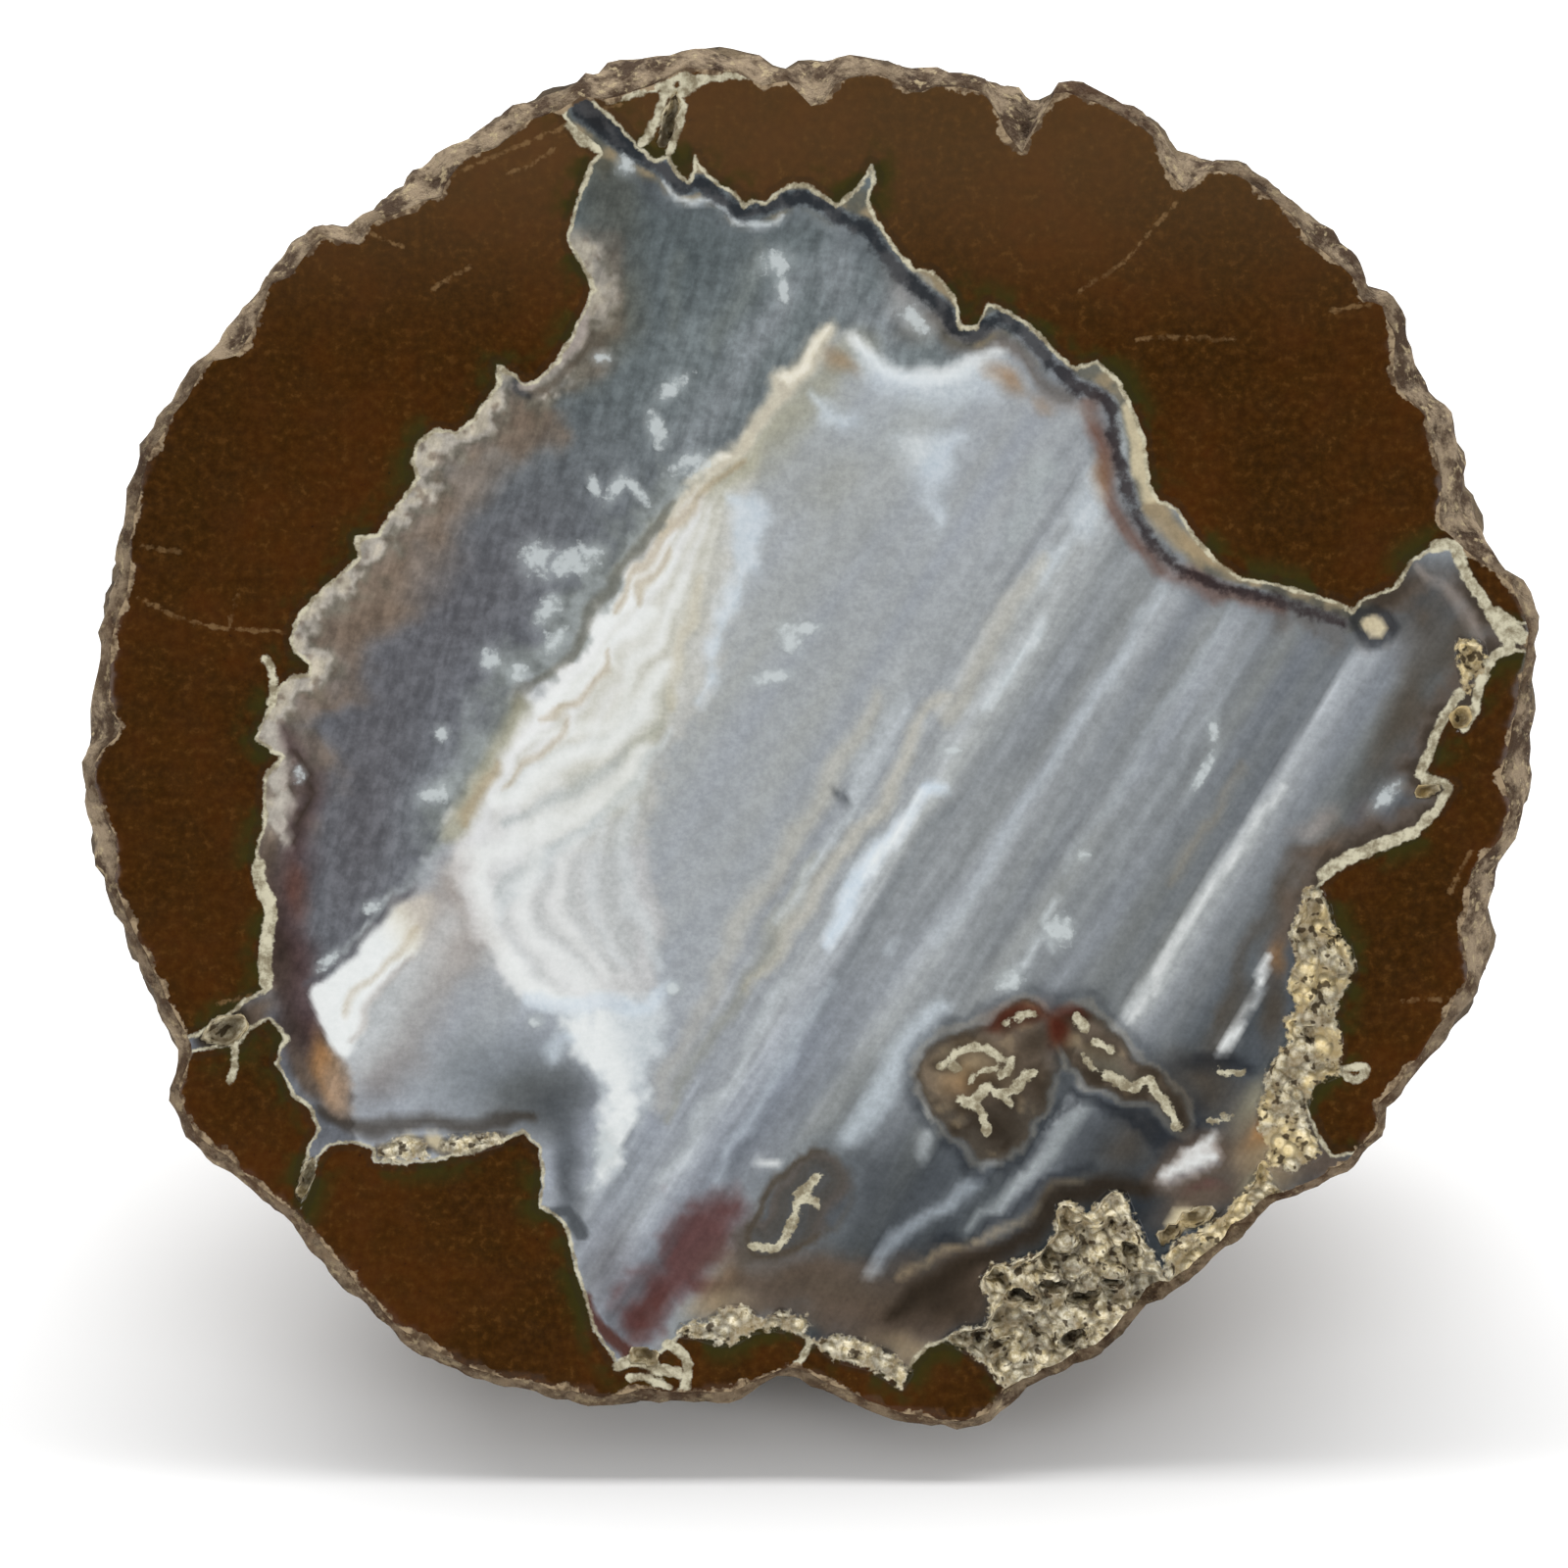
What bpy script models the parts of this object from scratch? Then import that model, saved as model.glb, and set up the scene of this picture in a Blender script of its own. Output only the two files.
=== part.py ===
"""Half of an agate nodule, sawn through and polished, leaning back on its rough rind.

The stone is modelled in the frame of its cut face: X runs to the right, Y up along the face, and Z out
of it, so the face is the plane Z = 0 and the rind is behind it. The object is then leaned back and stood
on the ground.
"""
from math import acos, atan2, cos, exp, hypot, pi, radians, sin

import bmesh
import bpy
from mathutils import Vector, noise

MM = 0.001

# Driving sizes
FACE_LEAN = radians(25)     # how far the cut face leans back from upright
FACE_HEIGHT = 44.2 * MM     # middle of the cut face above the ground
BACK_DEPTH = 47.0 * MM      # from the cut face to the deepest point of the back
RIND_FLARE = 1.018          # how much wider than the outline the rind is just behind the face

# How full the back is: 2 is an ellipse and more is boxier
BACK_FULLNESS = 2.25

# The underside is drawn in behind the rim, and a low lobe further back carries the stone on its worn flat
UNDERCUT, UNDERCUT_DEPTH = 2.7 * MM, 8.0 * MM
FOOT_HEIGHT, FOOT_SPREAD, FOOT_DEPTH = 6.9 * MM, 9.5 * MM, 31.5 * MM

# Chipped rim: a chip reaches back by a fixed depth and by this much for each unit that it reaches in
CHIP_DEPTH = 1.0 * MM
CHIP_SLOPE = 1.1

# Lobes, knobs and creases of the rind: size across, height, and the depth behind the face where they are full
LOBE_SIZE, LOBE_HEIGHT, LOBE_DEPTH = 17.0 * MM, 2.6 * MM, 11.0 * MM
KNOB_SIZE, KNOB_HEIGHT, KNOB_DEPTH = 9.0 * MM, 2.6 * MM, 7.0 * MM
CREASE = 1.25               # how fast a knob falls away from its middle to the crease around it
OUTLINE_FADE = 16.0 * MM    # the outline's small bumps are gone at this depth
OUTLINE_SPAN = 20           # degrees to each side over which they are averaged away, in steps of 4
HEART_DEPTH = 14.0 * MM     # the lumps stand out from a point this far behind the middle of the face

# Block that stands for the ground where the foot is worn flat
GROUND_SIDE = 160.0 * MM
GROUND_DEPTH = 20.0 * MM

# Steps of the starting sphere: around the face and from the face to the deepest point
SEGMENTS = 150
RINGS = 25
RING_EASE = 1.35            # crowds the rings towards the cut face

# Outline of the rough rind seen square to the face, in mm, clockwise from the left
OUTLINE = [
    (-48.1, 0.4), (-47.7, 2.0), (-47.0, 5.3), (-46.5, 9.2), (-45.8, 11.5), (-45.3, 15.7), (-44.0, 20.6),
    (-42.2, 23.5), (-38.5, 28.5), (-35.4, 32.3), (-34.0, 34.0), (-32.0, 35.2), (-29.1, 36.0),
    (-27.5, 37.3), (-22.8, 40.8), (-19.5, 42.8), (-16.3, 43.6), (-15.1, 44.8), (-13.5, 45.9),
    (-11.7, 46.4), (-6.8, 46.6), (-4.5, 46.1), (-1.6, 45.2), (0.0, 45.7), (2.2, 46.1), (4.0, 46.0),
    (5.1, 45.3), (7.3, 45.5), (10.7, 44.9), (13.4, 44.6), (17.6, 44.4), (20.5, 42.9), (22.7, 41.7),
    (24.0, 40.0), (26.8, 39.4), (28.3, 39.0), (31.7, 36.5), (36.1, 32.6), (36.4, 31.1), (37.5, 30.9),
    (39.3, 28.5), (40.0, 26.4), (41.0, 24.2), (41.9, 23.3), (43.4, 19.7), (43.6, 16.8), (44.5, 14.8),
    (45.2, 13.0), (46.5, 12.2), (47.6, 10.7), (48.0, 9.1), (47.3, 5.0), (47.8, 2.0), (47.7, -0.5),
    (47.2, -3.9), (45.3, -6.6), (45.4, -8.8), (44.5, -13.7), (43.0, -16.6), (42.0, -17.7),
    (40.0, -20.9), (38.2, -22.9), (38.1, -24.6), (35.5, -27.2), (30.7, -29.3), (28.9, -31.1),
    (25.9, -33.8), (22.7, -35.9), (19.1, -39.5), (16.2, -40.9), (13.4, -42.6), (12.1, -43.9),
    (10.0, -44.5), (6.2, -43.9), (2.2, -42.3), (-0.9, -40.8), (-2.3, -40.8), (-5.2, -42.4),
    (-11.3, -42.3), (-14.0, -42.8), (-18.0, -42.1), (-23.1, -40.7), (-27.1, -38.6), (-30.9, -34.8),
    (-34.3, -30.5), (-38.8, -27.1), (-41.3, -25.1), (-42.6, -22.2), (-41.6, -19.8), (-43.5, -15.0),
    (-46.6, -8.1), (-47.8, -2.7),
]

# Edge of the polished face in mm, clockwise from the left: the outline less the chips along it
POLISHED_EDGE = [
    (-47.4, 0.4), (-45.7, 2.1), (-46.5, 3.8), (-46.6, 7.3), (-45.2, 11.5), (-44.9, 16.3), (-43.4, 21.2),
    (-41.3, 23.9), (-39.9, 26.4), (-37.9, 26.8), (-36.9, 28.3), (-35.6, 31.5), (-34.2, 32.3),
    (-32.2, 34.7), (-29.8, 34.0), (-28.9, 35.6), (-26.9, 36.3), (-24.4, 37.4), (-22.8, 40.0),
    (-20.8, 40.3), (-18.9, 42.1), (-16.3, 43.0), (-14.8, 44.0), (-13.2, 43.6), (-10.4, 44.5),
    (-8.6, 45.6), (-4.5, 45.3), (-3.6, 44.4), (-1.6, 44.8), (0.2, 42.9), (1.9, 44.9), (4.6, 45.3),
    (6.8, 43.8), (8.0, 44.5), (11.2, 44.3), (12.4, 42.3), (14.0, 39.8), (15.2, 42.0), (16.0, 44.0),
    (17.6, 44.1), (20.5, 42.7), (22.4, 41.2), (23.4, 39.1), (24.5, 37.5), (25.3, 38.3), (26.3, 39.0),
    (28.2, 38.7), (31.1, 36.7), (32.9, 34.3), (36.0, 31.7), (36.4, 30.4), (37.5, 30.3), (38.5, 28.5),
    (38.4, 26.3), (38.7, 24.6), (40.7, 22.7), (41.6, 18.5), (41.5, 15.6), (44.0, 13.4), (46.3, 11.8),
    (47.5, 8.8), (46.9, 4.5), (45.8, -0.6), (46.7, -3.0), (45.6, -5.3), (43.9, -6.9), (43.3, -11.5),
    (43.7, -14.5), (41.4, -18.2), (38.1, -22.7), (37.9, -24.5), (35.3, -26.9), (30.6, -29.0),
    (28.7, -30.9), (25.7, -33.5), (22.5, -35.6), (18.9, -39.2), (16.2, -40.5), (12.8, -42.0),
    (12.0, -43.4), (10.0, -44.2), (6.2, -43.5), (2.2, -42.0), (-1.6, -40.6), (-5.2, -42.1),
    (-11.3, -42.1), (-14.0, -42.5), (-18.0, -41.8), (-23.0, -40.4), (-27.0, -38.2), (-30.8, -34.6),
    (-34.2, -30.2), (-38.6, -26.6), (-41.0, -24.7), (-42.2, -21.8), (-41.2, -18.6), (-43.2, -15.0),
    (-46.3, -8.0), (-46.0, -5.1), (-47.6, -2.0),
]

# Porous crusts, sunk below the polish: middle on the face, half length, half width and depth in mm, and
# turn in degrees
CRUSTS = {
    "lower_crust": ((16.2, -36.4), 6.2, 4.6, 2.0, 12),
    "upper_crust": ((19.0, -31.6), 4.4, 3.6, 2.2, 62),
    "side_crust": ((33.5, -14.8), 7.6, 2.0, 1.5, 83),
    "corner_crust": ((44.0, 6.9), 1.9, 1.2, 1.1, 70),
}

CUTTER_RISE = 0.23          # a hollow's widest part stands this share of its depth in front of the face
CRUST_ROUGHNESS = 0.35      # how lumpy a crust's floor is, and how many lumps it has across
CRUST_LUMPS = 2.3

# Open pits and slits in the face, given in the same way
PITS = [
    ((-39.2, -17.9), 1.5, 1.0, 1.8, 20), ((-9.4, 42.6), 1.9, 0.7, 1.8, 76),
    ((-33.9, -28.0), 1.6, 0.5, 1.5, 72), ((43.4, 3.0), 0.9, 0.7, 1.4, 40),
    ((41.2, -1.8), 0.9, 0.5, 1.2, 15), ((16.0, -33.6), 0.8, 1.3, 3.0, 10),
    ((14.3, -36.1), 1.3, 0.6, 3.2, -8), ((18.4, -36.2), 1.5, 0.7, 3.2, 12),
    ((21.6, -33.0), 1.2, 0.7, 3.2, -40), ((12.8, -39.3), 1.7, 0.6, 1.8, 22),
    ((17.6, -39.0), 1.4, 0.6, 2.2, 30), ((25.8, -30.6), 1.5, 0.7, 1.6, 25),
    ((34.6, -12.6), 0.8, 0.6, 2.4, 60), ((33.2, -16.2), 0.9, 0.6, 2.4, 10),
    ((38.0, -21.2), 1.5, 0.6, 1.5, 8), ((-11.2, -40.0), 1.1, 0.7, 1.6, -20),
]


def smooth(value, low, high):
    """0 below low, 1 above high, and an even S between."""
    x = min(max((value - low) / (high - low), 0.0), 1.0)
    return x * x * (3 - 2 * x)


def mix(a, b, share):
    return a + (b - a) * share


def polar(points):
    """Turns an outline in mm into (angle, radius) pairs in order of angle."""
    return sorted((atan2(y, x), hypot(x, y) * MM) for x, y in points)


def radius_at(outline, angle):
    """Reads a polar outline at any angle, straight between its points."""
    angle = (angle + pi) % (2 * pi) - pi
    first, last = outline[0], outline[-1]
    around = [(last[0] - 2 * pi, last[1])] + outline + [(first[0] + 2 * pi, first[1])]
    for (a0, r0), (a1, r1) in zip(around, around[1:]):
        if a0 <= angle <= a1:
            return mix(r0, r1, (angle - a0) / max(a1 - a0, 1e-9))
    return first[1]


def softened(outline, angle):
    """The same outline with its small bumps averaged away."""
    steps = range(-OUTLINE_SPAN, OUTLINE_SPAN + 1, 4)
    return sum(radius_at(outline, angle + radians(step)) for step in steps) / len(steps)


def relief(place, size):
    """Rounded knobs with creases between them, about -0.5 to 0.5."""
    nearest = noise.voronoi(place / size)[0][0]
    return 0.5 - CREASE * nearest ** 2


def lumps(place, depth):
    """Height of the rind at a place on it, none at the sawn edge."""
    lobe = noise.noise(place / LOBE_SIZE) * LOBE_HEIGHT * smooth(depth, 0, LOBE_DEPTH)
    knob = relief(place, KNOB_SIZE) * KNOB_HEIGHT * smooth(depth, 0, KNOB_DEPTH)
    return lobe + knob


def underside(angle, radius, depth):
    """How far the bottom of the stone is drawn in or swells out."""
    downward = max(0.0, -sin(angle)) ** 2
    across = radius * cos(angle)
    foot = FOOT_HEIGHT * exp(-(across ** 2 + (depth - FOOT_DEPTH) ** 2) / (2 * FOOT_SPREAD ** 2))
    return downward * (foot - UNDERCUT * smooth(depth, 0, UNDERCUT_DEPTH))


def rind_point(angle, share, rind, polish):
    """A place on the stone: angle around the face, share 0 at the face and 1 at the deepest point."""
    turn = share ** RING_EASE * pi / 2
    power = 2 / BACK_FULLNESS
    depth = BACK_DEPTH * sin(turn) ** power
    outer = mix(radius_at(rind, angle), softened(rind, angle), smooth(depth, 0, OUTLINE_FADE))
    outer *= RIND_FLARE * max(cos(turn), 0.0) ** power
    outer += underside(angle, outer, depth)
    inner = radius_at(polish, angle)
    chip = CHIP_DEPTH + CHIP_SLOPE * max(0.0, radius_at(rind, angle) - inner)
    out = min(depth / chip, 1.0)
    radius = mix(inner, outer, 1 - (1 - out) ** 2)
    place = Vector((radius * cos(angle), radius * sin(angle), -depth))
    away = (place + Vector((0, 0, HEART_DEPTH))).normalized()
    return place + away * lumps(place, depth)


def finished_mesh(bm, name):
    mesh = bpy.data.meshes.new(name)
    bm.to_mesh(mesh)
    bm.free()
    return mesh


def stone_mesh():
    """Starts as a sphere with its pole at the deepest point, loses its front half and is shaped."""
    bm = bmesh.new()
    bmesh.ops.create_uvsphere(bm, u_segments=SEGMENTS, v_segments=2 * RINGS, radius=1.0)
    in_front = [v for v in bm.verts if v.co.z > 1e-4]
    bmesh.ops.delete(bm, geom=in_front, context="VERTS")
    rind, polish = polar(OUTLINE), polar(POLISHED_EDGE)
    for v in bm.verts:
        share = 1 - acos(min(max(-v.co.z, -1.0), 1.0)) / (pi / 2)
        v.co = rind_point(atan2(v.co.y, v.co.x), max(share, 0.0), rind, polish)
    rim = [e for e in bm.edges if e.is_boundary]
    for v in {v for e in rim for v in e.verts}:
        v.co.z = 0.0
    bmesh.ops.contextual_create(bm, geom=rim)
    bmesh.ops.recalc_face_normals(bm, faces=bm.faces[:])
    return finished_mesh(bm, "agate_nodule")


def stone_material():
    material = bpy.data.materials.new("stone")
    material.use_nodes = True
    shader = material.node_tree.nodes["Principled BSDF"]
    shader.inputs["Base Color"].default_value = (0.20, 0.13, 0.08, 1)
    shader.inputs["Roughness"].default_value = 0.6
    shader.inputs["Metallic"].default_value = 0.0
    return material


def cut(stone, cutters, name, mesh):
    """Takes the shape of a mesh away from the stone."""
    cutter = bpy.data.objects.new(name, mesh)
    cutters.objects.link(cutter)
    cutter.hide_render = True
    cutter.display_type = "WIRE"
    modifier = stone.modifiers.new(name, "BOOLEAN")
    modifier.operation = "DIFFERENCE"
    modifier.solver = "EXACT"
    modifier.object = cutter
    return cutter


def wear_foot_flat(stone, cutters):
    """Takes away what would reach below the ground, so that the stone stands on a small flat."""
    bm = bmesh.new()
    bmesh.ops.create_cube(bm, size=1.0)
    bmesh.ops.scale(bm, verts=bm.verts, vec=(GROUND_SIDE, GROUND_SIDE, GROUND_DEPTH))
    ground = cut(stone, cutters, "ground", finished_mesh(bm, "ground"))
    ground.location = (0, 0, -GROUND_DEPTH / 2)


def hollow(stone, cutters, name, spot, length, width, depth, turn, roughness=0.0):
    """Sinks a rounded hollow into the cut face, with a lumpy floor where roughness is over 0."""
    bm = bmesh.new()
    bmesh.ops.create_icosphere(bm, subdivisions=3 if roughness else 2, radius=1.0)
    for v in bm.verts:
        v.co *= 1 + roughness * noise.noise(v.co * CRUST_LUMPS + Vector((spot[0], spot[1], 0)))
        v.co = Vector((v.co.x * length, v.co.y * width, v.co.z * depth)) * MM
    cutter = cut(stone, cutters, name, finished_mesh(bm, name))
    cutter.parent = stone
    cutter.location = (spot[0] * MM, spot[1] * MM, CUTTER_RISE * depth * MM)
    cutter.rotation_euler = (0, 0, radians(turn))


def main():
    for old in list(bpy.data.objects):
        bpy.data.objects.remove(old)
    parts = bpy.data.collections.new("agate_nodule")
    cutters = bpy.data.collections.new("agate_nodule_cutters")
    for group in (parts, cutters):
        bpy.context.scene.collection.children.link(group)

    stone = bpy.data.objects.new("agate_nodule", stone_mesh())
    parts.objects.link(stone)
    stone.data.materials.append(stone_material())
    stone.rotation_euler = (pi / 2 - FACE_LEAN, 0, 0)
    stone.location = (0, 0, FACE_HEIGHT)
    bpy.context.view_layer.update()
    corners = [stone.matrix_world @ v.co for v in stone.data.vertices]
    for axis in (0, 1):
        side = [corner[axis] for corner in corners]
        stone.location[axis] = -(min(side) + max(side)) / 2

    wear_foot_flat(stone, cutters)
    for name, values in CRUSTS.items():
        hollow(stone, cutters, name, *values, roughness=CRUST_ROUGHNESS)
    for number, values in enumerate(PITS, start=1):
        hollow(stone, cutters, f"pit_{number:02d}", *values)


main()
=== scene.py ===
# %% [markdown]
# # Half of an agate nodule, sawn through and polished
# The real stone is a lump of brown volcanic rock whose hollow heart filled up with banded agate. It was
# sawn in half, and the cut was polished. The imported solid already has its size, its lean and its foot,
# so this script dresses it: a finer mesh for the rough rind and the polished cut, and the pattern of
# the agate in its colours. Everything is made in the frame of the cut face first, where X runs to the
# right, Y up along the face and Z out of it, because a pattern is easiest to draw when the face lies
# flat.

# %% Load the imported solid
import math

import bpy
import numpy as np
from mathutils import Matrix, Vector, geometry, noise


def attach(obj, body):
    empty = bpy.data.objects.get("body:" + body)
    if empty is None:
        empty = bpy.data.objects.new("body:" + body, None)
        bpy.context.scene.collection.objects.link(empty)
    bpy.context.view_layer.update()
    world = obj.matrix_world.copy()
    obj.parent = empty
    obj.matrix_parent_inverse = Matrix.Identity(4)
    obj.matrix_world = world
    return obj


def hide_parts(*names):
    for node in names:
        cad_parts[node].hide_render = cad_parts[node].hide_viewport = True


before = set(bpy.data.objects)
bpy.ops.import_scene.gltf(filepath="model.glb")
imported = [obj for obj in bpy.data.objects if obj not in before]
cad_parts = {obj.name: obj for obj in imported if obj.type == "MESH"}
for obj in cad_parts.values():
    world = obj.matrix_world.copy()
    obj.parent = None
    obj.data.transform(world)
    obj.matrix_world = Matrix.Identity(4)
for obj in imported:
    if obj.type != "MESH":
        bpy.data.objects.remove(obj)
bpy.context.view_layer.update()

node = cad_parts["agate_nodule"]

# %% [markdown]
# ## Where the cut face lies
# The face leans back 25 degrees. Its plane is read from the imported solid: the face is the part of the
# stone that reaches furthest along the face's own direction, so the furthest corner gives the plane.

# %% Face frame
MM = 0.001
FACE_LEAN = math.radians(25)
FACE_HEIGHT = 44.2 * MM         # middle of the cut face above the ground

outward = Vector((0, -math.cos(FACE_LEAN), math.sin(FACE_LEAN)))
reach = max(outward.dot(v.co) for v in node.data.vertices)
face_y = (outward.z * FACE_HEIGHT - reach) / math.cos(FACE_LEAN)
print("the middle of the face is", round(face_y / MM, 2), "mm behind the middle of the box")

# %% [markdown]
# ## The shape of the stone
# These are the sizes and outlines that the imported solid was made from. The rind is the rough outside,
# and the polished edge runs a little inside it wherever the saw or a knock chipped the rim.

# %% Sizes and outlines
BACK_DEPTH = 47.0 * MM
RIND_FLARE = 1.018
BACK_FULLNESS = 2.25
UNDERCUT, UNDERCUT_DEPTH = 2.7 * MM, 8.0 * MM
FOOT_HEIGHT, FOOT_SPREAD, FOOT_DEPTH = 6.9 * MM, 9.5 * MM, 31.5 * MM
CHIP_DEPTH, CHIP_SLOPE = 1.0 * MM, 1.1
LOBE_SIZE, LOBE_HEIGHT, LOBE_DEPTH = 17.0 * MM, 2.6 * MM, 11.0 * MM
KNOB_SIZE, KNOB_HEIGHT, KNOB_DEPTH = 9.0 * MM, 2.6 * MM, 7.0 * MM
CREASE = 1.25
OUTLINE_FADE = 16.0 * MM
OUTLINE_SPAN = 20
HEART_DEPTH = 14.0 * MM

# Outline of the rough rind seen square to the face, in mm, clockwise from the left
OUTLINE = [
    (-48.1, 0.4), (-47.7, 2.0), (-47.0, 5.3), (-46.5, 9.2), (-45.8, 11.5), (-45.3, 15.7), (-44.0, 20.6),
    (-42.2, 23.5), (-38.5, 28.5), (-35.4, 32.3), (-34.0, 34.0), (-32.0, 35.2), (-29.1, 36.0),
    (-27.5, 37.3), (-22.8, 40.8), (-19.5, 42.8), (-16.3, 43.6), (-15.1, 44.8), (-13.5, 45.9),
    (-11.7, 46.4), (-6.8, 46.6), (-4.5, 46.1), (-1.6, 45.2), (0.0, 45.7), (2.2, 46.1), (4.0, 46.0),
    (5.1, 45.3), (7.3, 45.5), (10.7, 44.9), (13.4, 44.6), (17.6, 44.4), (20.5, 42.9), (22.7, 41.7),
    (24.0, 40.0), (26.8, 39.4), (28.3, 39.0), (31.7, 36.5), (36.1, 32.6), (36.4, 31.1), (37.5, 30.9),
    (39.3, 28.5), (40.0, 26.4), (41.0, 24.2), (41.9, 23.3), (43.4, 19.7), (43.6, 16.8), (44.5, 14.8),
    (45.2, 13.0), (46.5, 12.2), (47.6, 10.7), (48.0, 9.1), (47.3, 5.0), (47.8, 2.0), (47.7, -0.5),
    (47.2, -3.9), (45.3, -6.6), (45.4, -8.8), (44.5, -13.7), (43.0, -16.6), (42.0, -17.7),
    (40.0, -20.9), (38.2, -22.9), (38.1, -24.6), (35.5, -27.2), (30.7, -29.3), (28.9, -31.1),
    (25.9, -33.8), (22.7, -35.9), (19.1, -39.5), (16.2, -40.9), (13.4, -42.6), (12.1, -43.9),
    (10.0, -44.5), (6.2, -43.9), (2.2, -42.3), (-0.9, -40.8), (-2.3, -40.8), (-5.2, -42.4),
    (-11.3, -42.3), (-14.0, -42.8), (-18.0, -42.1), (-23.1, -40.7), (-27.1, -38.6), (-30.9, -34.8),
    (-34.3, -30.5), (-38.8, -27.1), (-41.3, -25.1), (-42.6, -22.2), (-41.6, -19.8), (-43.5, -15.0),
    (-46.6, -8.1), (-47.8, -2.7),
]

# Edge of the polished face in mm, clockwise from the left: the outline less the chips along it
POLISHED_EDGE = [
    (-47.4, 0.4), (-45.7, 2.1), (-46.5, 3.8), (-46.6, 7.3), (-45.2, 11.5), (-44.9, 16.3), (-43.4, 21.2),
    (-41.3, 23.9), (-39.9, 26.4), (-37.9, 26.8), (-36.9, 28.3), (-35.6, 31.5), (-34.2, 32.3),
    (-32.2, 34.7), (-29.8, 34.0), (-28.9, 35.6), (-26.9, 36.3), (-24.4, 37.4), (-22.8, 40.0),
    (-20.8, 40.3), (-18.9, 42.1), (-16.3, 43.0), (-14.8, 44.0), (-13.2, 43.6), (-10.4, 44.5),
    (-8.6, 45.6), (-4.5, 45.3), (-3.6, 44.4), (-1.6, 44.8), (0.2, 42.9), (1.9, 44.9), (4.6, 45.3),
    (6.8, 43.8), (8.0, 44.5), (11.2, 44.3), (12.4, 42.3), (14.0, 39.8), (15.2, 42.0), (16.0, 44.0),
    (17.6, 44.1), (20.5, 42.7), (22.4, 41.2), (23.4, 39.1), (24.5, 37.5), (25.3, 38.3), (26.3, 39.0),
    (28.2, 38.7), (31.1, 36.7), (32.9, 34.3), (36.0, 31.7), (36.4, 30.4), (37.5, 30.3), (38.5, 28.5),
    (38.4, 26.3), (38.7, 24.6), (40.7, 22.7), (41.6, 18.5), (41.5, 15.6), (44.0, 13.4), (46.3, 11.8),
    (47.5, 8.8), (46.9, 4.5), (45.8, -0.6), (46.7, -3.0), (45.6, -5.3), (43.9, -6.9), (43.3, -11.5),
    (43.7, -14.5), (41.4, -18.2), (38.1, -22.7), (37.9, -24.5), (35.3, -26.9), (30.6, -29.0),
    (28.7, -30.9), (25.7, -33.5), (22.5, -35.6), (18.9, -39.2), (16.2, -40.5), (12.8, -42.0),
    (12.0, -43.4), (10.0, -44.2), (6.2, -43.5), (2.2, -42.0), (-1.6, -40.6), (-5.2, -42.1),
    (-11.3, -42.1), (-14.0, -42.5), (-18.0, -41.8), (-23.0, -40.4), (-27.0, -38.2), (-30.8, -34.6),
    (-34.2, -30.2), (-38.6, -26.6), (-41.0, -24.7), (-42.2, -21.8), (-41.2, -18.6), (-43.2, -15.0),
    (-46.3, -8.0), (-46.0, -5.1), (-47.6, -2.0),
]

# %% [markdown]
# ## Small helpers for shapes
# The same few formulas shape every point of the rind, so they work on whole arrays of points at once.

# %% Shape helpers
NEARLY_ZERO = 1e-4              # a coordinate below this counts as none


def smooth(value, low, high):
    """0 below low, 1 above high, and an even S between."""
    x = np.clip((value - low) / (high - low), 0, 1)
    return x * x * (3 - 2 * x)


def mix(a, b, share):
    return a + (b - a) * share


def radius_at(outline, angle):
    """How far an outline given in mm is from the middle at each angle, in metres."""
    x, y = np.array(outline).T * MM
    order = np.argsort(np.arctan2(y, x))
    return np.interp(angle, np.arctan2(y, x)[order], np.hypot(x, y)[order], period=2 * math.pi)


def softened(outline, angle):
    """The same outline with its small bumps averaged away."""
    steps = np.radians(np.arange(-OUTLINE_SPAN, OUTLINE_SPAN + 1, 4))
    return sum(radius_at(outline, angle + step) for step in steps) / len(steps)


def nearest_knob(place, size):
    """Distance to the middle of the nearest knob, in knob sizes."""
    return np.array([noise.voronoi(Vector(p) / size)[0][0] for p in place])


def swell(place, size):
    return np.array([noise.noise(Vector(p) / size) for p in place])


def at_point(x, y, z):
    return np.column_stack((x, y, z))


def points_of(obj):
    """Where the points of a mesh are, one row for each."""
    flat = np.zeros(len(obj.data.vertices) * 3)
    obj.data.vertices.foreach_get("co", flat)
    return flat.reshape(-1, 3)


def set_points(obj, place):
    obj.data.vertices.foreach_set("co", np.asarray(place, float).ravel())
    obj.data.update()


# %% [markdown]
# ## The rough rind
# On the real stone the outside is a hard, knobbly skin. It starts here as a cube that is cut into small
# squares and cast to a ball, which spreads its points more evenly than a globe with poles would. The
# half in front of the cut is deleted, and each point left is moved out to the stone's surface: lobes
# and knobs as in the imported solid, and finer warts and grain that only this mesh is fine enough to
# hold.

# %% Half ball
RIND_CELLS = 110                # squares along a side of the cube, an even number

bpy.ops.object.select_all(action="DESELECT")
bpy.ops.mesh.primitive_cube_add(size=2)
rind = bpy.context.object
rind.name = "agate_nodule_dressed"
bpy.ops.object.mode_set(mode="EDIT")
bpy.ops.mesh.select_all(action="SELECT")
bpy.ops.mesh.subdivide(number_cuts=1)
bpy.ops.mesh.subdivide(number_cuts=RIND_CELLS // 2 - 1)
bpy.ops.object.mode_set(mode="OBJECT")
cast = rind.modifiers.new("ball", "CAST")
cast.cast_type = "SPHERE"
cast.factor = 1.0
cast.size = 1.0
cast.use_radius_as_size = False
bpy.ops.object.modifier_apply(modifier=cast.name)
bpy.ops.object.mode_set(mode="EDIT")
bpy.ops.mesh.select_all(action="DESELECT")
bpy.ops.object.mode_set(mode="OBJECT")
for v in rind.data.vertices:
    v.select = v.co.z > NEARLY_ZERO
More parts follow.
